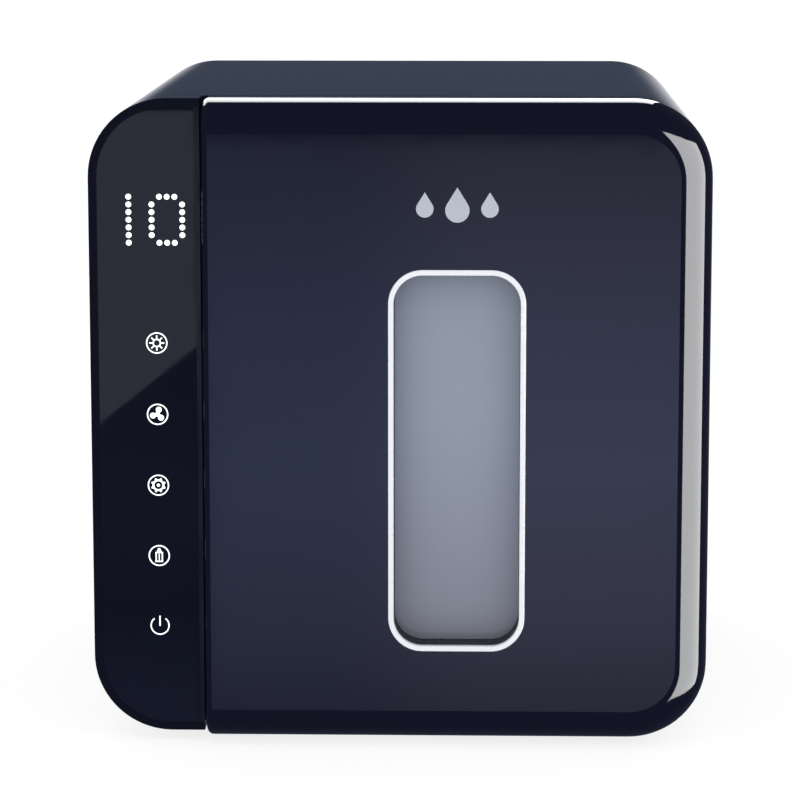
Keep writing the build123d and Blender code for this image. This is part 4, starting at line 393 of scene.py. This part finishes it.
class Print:
    """Thin white shapes on the panel's face, gathered in one mesh. Places are right and up of its centre."""

    def __init__(self, x, z):
        self.mesh = bmesh.new()
        self.x = x
        self.z = z

    def _prism(self, rim):
        """Raised shape with this rim, given anticlockwise as seen from the front."""
        front = [self.mesh.verts.new((self.x + u, Y_LENS - PRINT_THICKNESS, self.z + v)) for u, v in rim]
        back = [self.mesh.verts.new((self.x + u, Y_LENS, self.z + v)) for u, v in rim]
        self.mesh.faces.new(front)
        self.mesh.faces.new(back[::-1])
        for i in range(len(rim)):
            j = (i + 1) % len(rim)
            self.mesh.faces.new((front[j], front[i], back[i], back[j]))

    def disc(self, u, v, radius):
        turn = [2 * math.pi * i / DISC_STEPS for i in range(DISC_STEPS)]
        self._prism([(u + radius * math.cos(a), v + radius * math.sin(a)) for a in turn])

    def arc(self, radius, width, start, end):
        """Curved bar between two angles in degrees, anticlockwise from the right."""
        steps = int(ARC_STEPS * (end - start) / 360)
        angles = [math.radians(start + (end - start) * i / steps) for i in range(steps + 1)]
        outer = radius + width / 2
        inner = radius - width / 2
        for a, b in zip(angles, angles[1:]):
            self._prism([(inner * math.cos(a), inner * math.sin(a)), (outer * math.cos(a), outer * math.sin(a)),
                         (outer * math.cos(b), outer * math.sin(b)), (inner * math.cos(b), inner * math.sin(b))])

    def bar(self, u0, v0, u1, v1, width):
        """Straight bar between two points."""
        along = Vector((u1 - u0, v1 - v0)).normalized()
        side = Vector((-along.y, along.x)) * width / 2
        a, b = Vector((u0, v0)), Vector((u1, v1))
        self._prism([tuple(a - side), tuple(b - side), tuple(b + side), tuple(a + side)])

    def finish(self, name, finish):
        """Turns the shapes into a piece on the cabinet."""
        bmesh.ops.recalc_face_normals(self.mesh, faces=self.mesh.faces)
        data = bpy.data.meshes.new(name)
        self.mesh.to_mesh(data)
        self.mesh.free()
        piece = bpy.data.objects.new(name, data)
        bpy.context.scene.collection.objects.link(piece)
        data.materials.append(FINISHES[finish])
        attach(piece, "cabinet")


def ring(icon):
    """The ring round a symbol."""
    icon.arc(RING_R, LINE, 0, 360)


def rays(icon, first, near, far, width):
    """Eight bars that point outwards, the first one at an angle in degrees."""
    for i in range(8):
        a = math.radians(first + 45 * i)
        icon.bar(near * math.cos(a), near * math.sin(a), far * math.cos(a), far * math.sin(a), width)


def lamp_symbol(icon):
    """Sun in a ring: the ultraviolet programme."""
    ring(icon)
    icon.arc(1.75 * MM, LINE, 0, 360)
    rays(icon, 0, 2.0 * MM, 3.7 * MM, LINE)


def fan_symbol(icon):
    """Three-bladed fan in a ring: the drying programme."""
    ring(icon)
    icon.disc(0, 0, 0.9 * MM)
    reach = 2.35 * MM
    for i in range(3):
        a = math.radians(75 + 120 * i)
        icon.disc(reach * math.cos(a), reach * math.sin(a), 1.45 * MM)
        icon.bar(0, 0, reach * math.cos(a), reach * math.sin(a), 1.7 * MM)


def cog_symbol(icon):
    """Cog in a ring: the automatic programme."""
    ring(icon)
    icon.arc(2.45 * MM, LINE * 1.5, 0, 360)
    icon.disc(0, 0, 0.8 * MM)
    rays(icon, 22.5, 2.6 * MM, 3.6 * MM, LINE * 1.5)


def bottle_symbol(icon):
    """Feeding bottle in a ring: storage."""
    ring(icon)
    half, low, high = 1.5 * MM, -2.9 * MM, 1.5 * MM
    icon.bar(-half, low, -half, high, LINE)
    icon.bar(half, low, half, high, LINE)
    icon.bar(0, low + 0.5 * MM, 0, high - 0.6 * MM, LINE * 0.8)
    icon.bar(-half - LINE / 2, low, half + LINE / 2, low, LINE)
    icon.bar(-half - LINE / 2, high, half + LINE / 2, high, LINE)
    icon.bar(-half * 0.75, high + 0.75 * MM, half * 0.75, high + 0.75 * MM, LINE)
    icon.disc(0, high + 1.5 * MM, 0.75 * MM)


def power_symbol(icon):
    """Broken ring with an upright bar: on and off."""
    icon.arc(4.4 * MM, LINE, 128, 412)
    icon.bar(0, -0.2 * MM, 0, 4.9 * MM, LINE)


SYMBOLS = (
    (power_symbol, "power"),
    (bottle_symbol, "bottle"),
    (cog_symbol, "cog"),
    (fan_symbol, "fan"),
    (lamp_symbol, "lamp"),
)


def make_touch_symbols():
    """Five symbols, one over each touch pad."""
    x = (PAD_LOW.x + PAD_HIGH.x) / 2
    pad_r = (PAD_HIGH.x - PAD_LOW.x) / 2
    low = PAD_LOW.z + pad_r
    pitch = (PAD_HIGH.z - PAD_LOW.z - 2 * pad_r) / (len(SYMBOLS) - 1)
    for i, (draw, word) in enumerate(SYMBOLS):
        icon = Print(x, low + pitch * i)
        draw(icon)
        icon.finish("touch_symbol_" + word, "touch_print")


DIGIT_ROWS = 7
DIGIT_GAP = 2       # columns between two digits
LED_R = 1.5 * MM    # one dot of the CAD display
DOT_R = 1.38 * MM   # its lit part
GLYPHS = (
    ("#", "#", "#", "#", "#", "#", "#"),
    (" ### ", "#   #", "#   #", "#   #", "#   #", "#   #", " ### "),
)


def make_display():
    """Lit dots that show the number 10."""
    top = LED_HIGH.z - LED_R
    left = LED_LOW.x + LED_R
    pitch = (LED_HIGH.z - LED_LOW.z - 2 * LED_R) / (DIGIT_ROWS - 1)
    dots = Print(left, top)
    column = 0
    for glyph in GLYPHS:
        for row, line in enumerate(glyph):
            for i, mark in enumerate(line):
                if mark == "#":
                    dots.disc((column + i) * pitch, -row * pitch, DOT_R)
        column += len(glyph[0]) + DIGIT_GAP
    dots.finish("display_digits", "display_light")


make_touch_symbols()
make_display()


# ------------------------------------------------------------------ stage: floor, lights and what the gloss mirrors
FLOOR_SIZE = 12.0
FLOOR_GLOW = 0.82
WORLD_STRENGTH = 1.05

# The world as the gloss sees it. Each pair is the stretch of a direction's X, Y or Z over which one shade
# becomes the next.
ROOM = (0.060, 0.064, 0.090)
BAND = (0.85, 0.85, 0.90)
OVER_BAND = (0.060, 0.075, 0.108)
CEILING = (0.030, 0.038, 0.060)
BAND_FROM = (-0.20, -0.12)
BAND_TO = (-0.09, 0.04)
CEILING_FROM = (0.06, 0.14)
BAND_SIDES = (0.30, 0.50)
BEHIND_FROM = (0.05, 0.25)

# The cards in front. Heights are over the ground in millimetres, at the face that mirrors the card.
CARD_Y = -1.95
DOOR_SHADES = (
    (-12, (0.24, 0.27, 0.40)),
    (18, (0.28, 0.31, 0.46)),
    (66, (0.49, 0.55, 0.87)),
    (139, (0.58, 0.72, 1.22)),
    (211, (0.48, 0.58, 0.99)),
    (284, (0.33, 0.37, 0.54)),
    (297, (0.31, 0.35, 0.52)),
)
DOOR_CARD_INSET = 2 * MM
RIGHT_GAIN = (1.55, 1.42, 1.30)
RIGHT_GAIN_AT = 40 * MM         # place on the door where the gain towards the right is nearly whole
RIGHT_GAIN_REACH = (-0.16, 0.02)
PANEL_CARD_BEHIND = 0.02        # the panel's cards stand behind the door's
PANEL_CARD_GREY = (0.60, 0.66, 0.82)
PANEL_CARD_PAST = 0.12          # how far they go on past the panel's left edge
PANEL_CARD_UNDER_TOP = 6 * MM
SLANT_LEFT = 149 * MM           # the slanted edge over the panel's lower end, at its left and right
SLANT_RIGHT = 187 * MM
PANEL_SHADES = (
    (-37, (0.20, 0.24, 0.44)),
    (20, (0.17, 0.20, 0.36)),
    (66, (0.10, 0.12, 0.21)),
    (114, (0.14, 0.16, 0.29)),
    (200, (0.10, 0.11, 0.20)),
)

SOFTBOXES = (   # name, place, aim, width and height, brightness
    ("top_softbox", (-0.38, 1.35, 1.25), (0, 0, 0.3), (1.85, 1.5), 6),
    ("right_softbox", (1.422, -0.945, 0.10), (0.15, -0.15, 0.10), (2.34, 2.20), 10),
)


def blend_by(tree, value, low, high, first, second):
    """Colour that goes from one to the other as a value goes from low to high. Colours may be linked."""
    share = tree.nodes.new("ShaderNodeMapRange")
    share.interpolation_type = "SMOOTHSTEP"
    share.inputs["From Min"].default_value = low
    share.inputs["From Max"].default_value = high
    tree.links.new(value, share.inputs["Value"])
    mix = tree.nodes.new("ShaderNodeMix")
    mix.data_type = "RGBA"
    tree.links.new(share.outputs["Result"], mix.inputs["Factor"])
    for socket, colour in ((mix.inputs["A"], first), (mix.inputs["B"], second)):
        if isinstance(colour, tuple):
            socket.default_value = (*colour, 1)
        else:
            tree.links.new(colour, socket)
    return mix.outputs["Result"]


def emitter(name, stops, side_gain=None):
    """Emission with colours at heights. A side gain multiplies it more and more between two X places: x, x, gain."""
    material = bpy.data.materials.new(name)
    material.use_nodes = True
    tree = material.node_tree
    tree.nodes.clear()
    out = tree.nodes.new("ShaderNodeOutputMaterial")
    glow = tree.nodes.new("ShaderNodeEmission")
    tree.links.new(glow.outputs["Emission"], out.inputs["Surface"])
    place = tree.nodes.new("ShaderNodeTexCoord")
    axes = tree.nodes.new("ShaderNodeSeparateXYZ")
    tree.links.new(place.outputs["Object"], axes.inputs["Vector"])
    low, high = stops[0][0], stops[-1][0]
    peak = max(max(colour) for height, colour in stops)
    span = tree.nodes.new("ShaderNodeMapRange")
    span.inputs["From Min"].default_value = low
    span.inputs["From Max"].default_value = high
    tree.links.new(axes.outputs["Z"], span.inputs["Value"])
    ramp = tree.nodes.new("ShaderNodeValToRGB")
    fill_ramp(ramp, [((where - low) / (high - low), tint(colour, 1 / peak)) for where, colour in stops])
    tree.links.new(span.outputs["Result"], ramp.inputs["Fac"])
    shade = ramp.outputs["Color"]
    if side_gain:
        x_low, x_high, gain = side_gain
        most = max(gain)
        gained = tree.nodes.new("ShaderNodeMix")
        gained.data_type = "RGBA"
        gained.blend_type = "MULTIPLY"
        gained.inputs["Factor"].default_value = 1
        tree.links.new(shade, gained.inputs["A"])
        plain = (1 / most,) * 3
        factor = blend_by(tree, axes.outputs["X"], x_low, x_high, plain, tint(gain, 1 / most))
        tree.links.new(factor, gained.inputs["B"])
        shade = gained.outputs["Result"]
        peak = peak * most
    tree.links.new(shade, glow.inputs["Color"])
    glow.inputs["Strength"].default_value = peak
    return material


def card(name, rim, material):
    """Flat card that only the gloss of the object sees."""
    data = bpy.data.meshes.new(name)
    data.from_pydata([Vector(point) for point in rim], [], [list(range(len(rim)))])
    data.materials.append(material)
    piece = bpy.data.objects.new(name, data)
    bpy.context.scene.collection.objects.link(piece)
    piece.visible_camera = False
    piece.visible_diffuse = False
    piece.visible_shadow = False
    piece.visible_transmission = False
    return piece


def mirrored(x, z, y_mirror, y_card=CARD_Y):
    """Where the camera's ray to a point on a front face goes after it is mirrored there."""
    share = (2 * y_mirror - CAMERA_AT.y - y_card) / (y_mirror - CAMERA_AT.y)
    return (CAMERA_AT.x + (x - CAMERA_AT.x) * share, y_card, CAMERA_AT.z + (z - CAMERA_AT.z) * share)


def make_floor():
    """Plain pale floor."""
    half = FLOOR_SIZE / 2
    data = bpy.data.meshes.new("floor")
    rim = [(-half, -half, 0), (half, -half, 0), (half, half, 0), (-half, half, 0)]
    data.from_pydata(rim, [], [(0, 1, 2, 3)])
    floor = bpy.data.objects.new("floor", data)
    bpy.context.scene.collection.objects.link(floor)
    g = Graph("floor_paper")
    paper = g.blend(g.noise(3, 2), (0.24, 0.24, 0.245), (0.26, 0.26, 0.26))
    g.link(paper, g.shader.inputs["Base Color"])
    g.set(Roughness=0.8, Emission_Color=(1, 1, 1, 1), Emission_Strength=FLOOR_GLOW)
    data.materials.append(g.material)
    floor.visible_glossy = False


def make_world():
    """White studio. The gloss sees a pale band low behind the object, and a dim room elsewhere."""
    world = bpy.data.worlds.new("studio")
    bpy.context.scene.world = world
    world.use_nodes = True
    tree = world.node_tree
    tree.nodes.clear()
    out = tree.nodes.new("ShaderNodeOutputWorld")
    path = tree.nodes.new("ShaderNodeLightPath")
    place = tree.nodes.new("ShaderNodeTexCoord")
    axes = tree.nodes.new("ShaderNodeSeparateXYZ")
    tree.links.new(place.outputs["Generated"], axes.inputs["Vector"])
    side = tree.nodes.new("ShaderNodeMath")
    side.operation = "ABSOLUTE"
    tree.links.new(axes.outputs["X"], side.inputs[0])
    band = blend_by(tree, axes.outputs["Z"], *BAND_FROM, ROOM, BAND)
    band = blend_by(tree, axes.outputs["Z"], *BAND_TO, band, OVER_BAND)
    band = blend_by(tree, axes.outputs["Z"], *CEILING_FROM, band, CEILING)
    behind = blend_by(tree, side.outputs["Value"], *BAND_SIDES, band, ROOM)
    seen_colour = blend_by(tree, axes.outputs["Y"], *BEHIND_FROM, ROOM, behind)
    even = tree.nodes.new("ShaderNodeBackground")
    even.inputs["Color"].default_value = (1, 1, 1, 1)
    even.inputs["Strength"].default_value = WORLD_STRENGTH
    seen = tree.nodes.new("ShaderNodeBackground")
    tree.links.new(seen_colour, seen.inputs["Color"])
    mix = tree.nodes.new("ShaderNodeMixShader")
    tree.links.new(path.outputs["Is Glossy Ray"], mix.inputs["Fac"])
    tree.links.new(even.outputs["Background"], mix.inputs[1])
    tree.links.new(seen.outputs["Background"], mix.inputs[2])
    tree.links.new(mix.outputs["Shader"], out.inputs["Surface"])


def make_softboxes():
    """Rectangular lights that only the gloss of the door sees."""
    door_only = bpy.data.collections.new("lit_by_softboxes")
    door_only.objects.link(nodes["door_cover"])
    for name, at, aim, size, brightness in SOFTBOXES:
        data = bpy.data.lights.new(name, "AREA")
        data.shape = "RECTANGLE"
        data.size, data.size_y = size
        data.energy = brightness * size[0] * size[1] * math.pi
        light = bpy.data.objects.new(name, data)
        bpy.context.scene.collection.objects.link(light)
        light.location = at
        light.rotation_mode = "QUATERNION"
        light.rotation_quaternion = (Vector(aim) - Vector(at)).to_track_quat("-Z", "Y")
        light.visible_camera = False
        light.visible_diffuse = False
        light.visible_transmission = False
        light.light_linking.receiver_collection = door_only


def stops_at(shades, y_mirror, y_card):
    """Shades by their height at the face that mirrors them, turned into heights on a card."""
    return [(mirrored(0, height * MM, y_mirror, y_card)[2], colour) for height, colour in shades]


def make_door_card():
    """Broad grey card that the door's face mirrors."""
    left = mirrored(DOOR_LOW.x, 0, Y_DOOR)[0]
    right = mirrored(DOOR_HIGH.x - DOOR_CARD_INSET, 0, Y_DOOR)[0]
    stops = stops_at(DOOR_SHADES, Y_DOOR, CARD_Y)
    low, high = stops[0][0], stops[-1][0]
    gain_at = mirrored(RIGHT_GAIN_AT, 0, Y_DOOR)[0]
    gain = (gain_at + RIGHT_GAIN_REACH[0], gain_at + RIGHT_GAIN_REACH[1], RIGHT_GAIN)
    rim = [(left, CARD_Y, low), (right, CARD_Y, low), (right, CARD_Y, high), (left, CARD_Y, high)]
    card("front_card", rim, emitter("front_card_glow", stops, gain))


def make_panel_cards():
    """Two cards that the touch panel mirrors, a grey one and a darker one under it, with a slanted edge between."""
    y_card = CARD_Y - PANEL_CARD_BEHIND
    edge_left = mirrored(LENS_LOW.x, LENS_LOW.z + SLANT_LEFT, Y_LENS, y_card)
    edge_right = mirrored(LENS_HIGH.x, LENS_LOW.z + SLANT_RIGHT, Y_LENS, y_card)
    slope = (edge_right[2] - edge_left[2]) / (edge_right[0] - edge_left[0])
    left, right = edge_left[0] - PANEL_CARD_PAST, edge_right[0]
    slant_left, slant_right = edge_left[2] - slope * PANEL_CARD_PAST, edge_right[2]
    high = mirrored(0, DOOR_HIGH.z - PANEL_CARD_UNDER_TOP, Y_LENS, y_card)[2]
    rim = [(left, y_card, slant_left), (right, y_card, slant_right), (right, y_card, high), (left, y_card, high)]
    card("panel_card", rim, emitter("panel_card_glow", [(slant_left, PANEL_CARD_GREY), (high, PANEL_CARD_GREY)]))
    stops = stops_at(PANEL_SHADES, Y_LENS, y_card)
    low = stops[0][0]
    rim = [(left, y_card, low), (right, y_card, low), (right, y_card, slant_right), (left, y_card, slant_left)]
    card("panel_shade", rim, emitter("panel_shade_glow", stops))


make_floor()
make_world()
make_door_card()
make_panel_cards()
make_softboxes()
bpy.context.scene.view_settings.view_transform = "Standard"
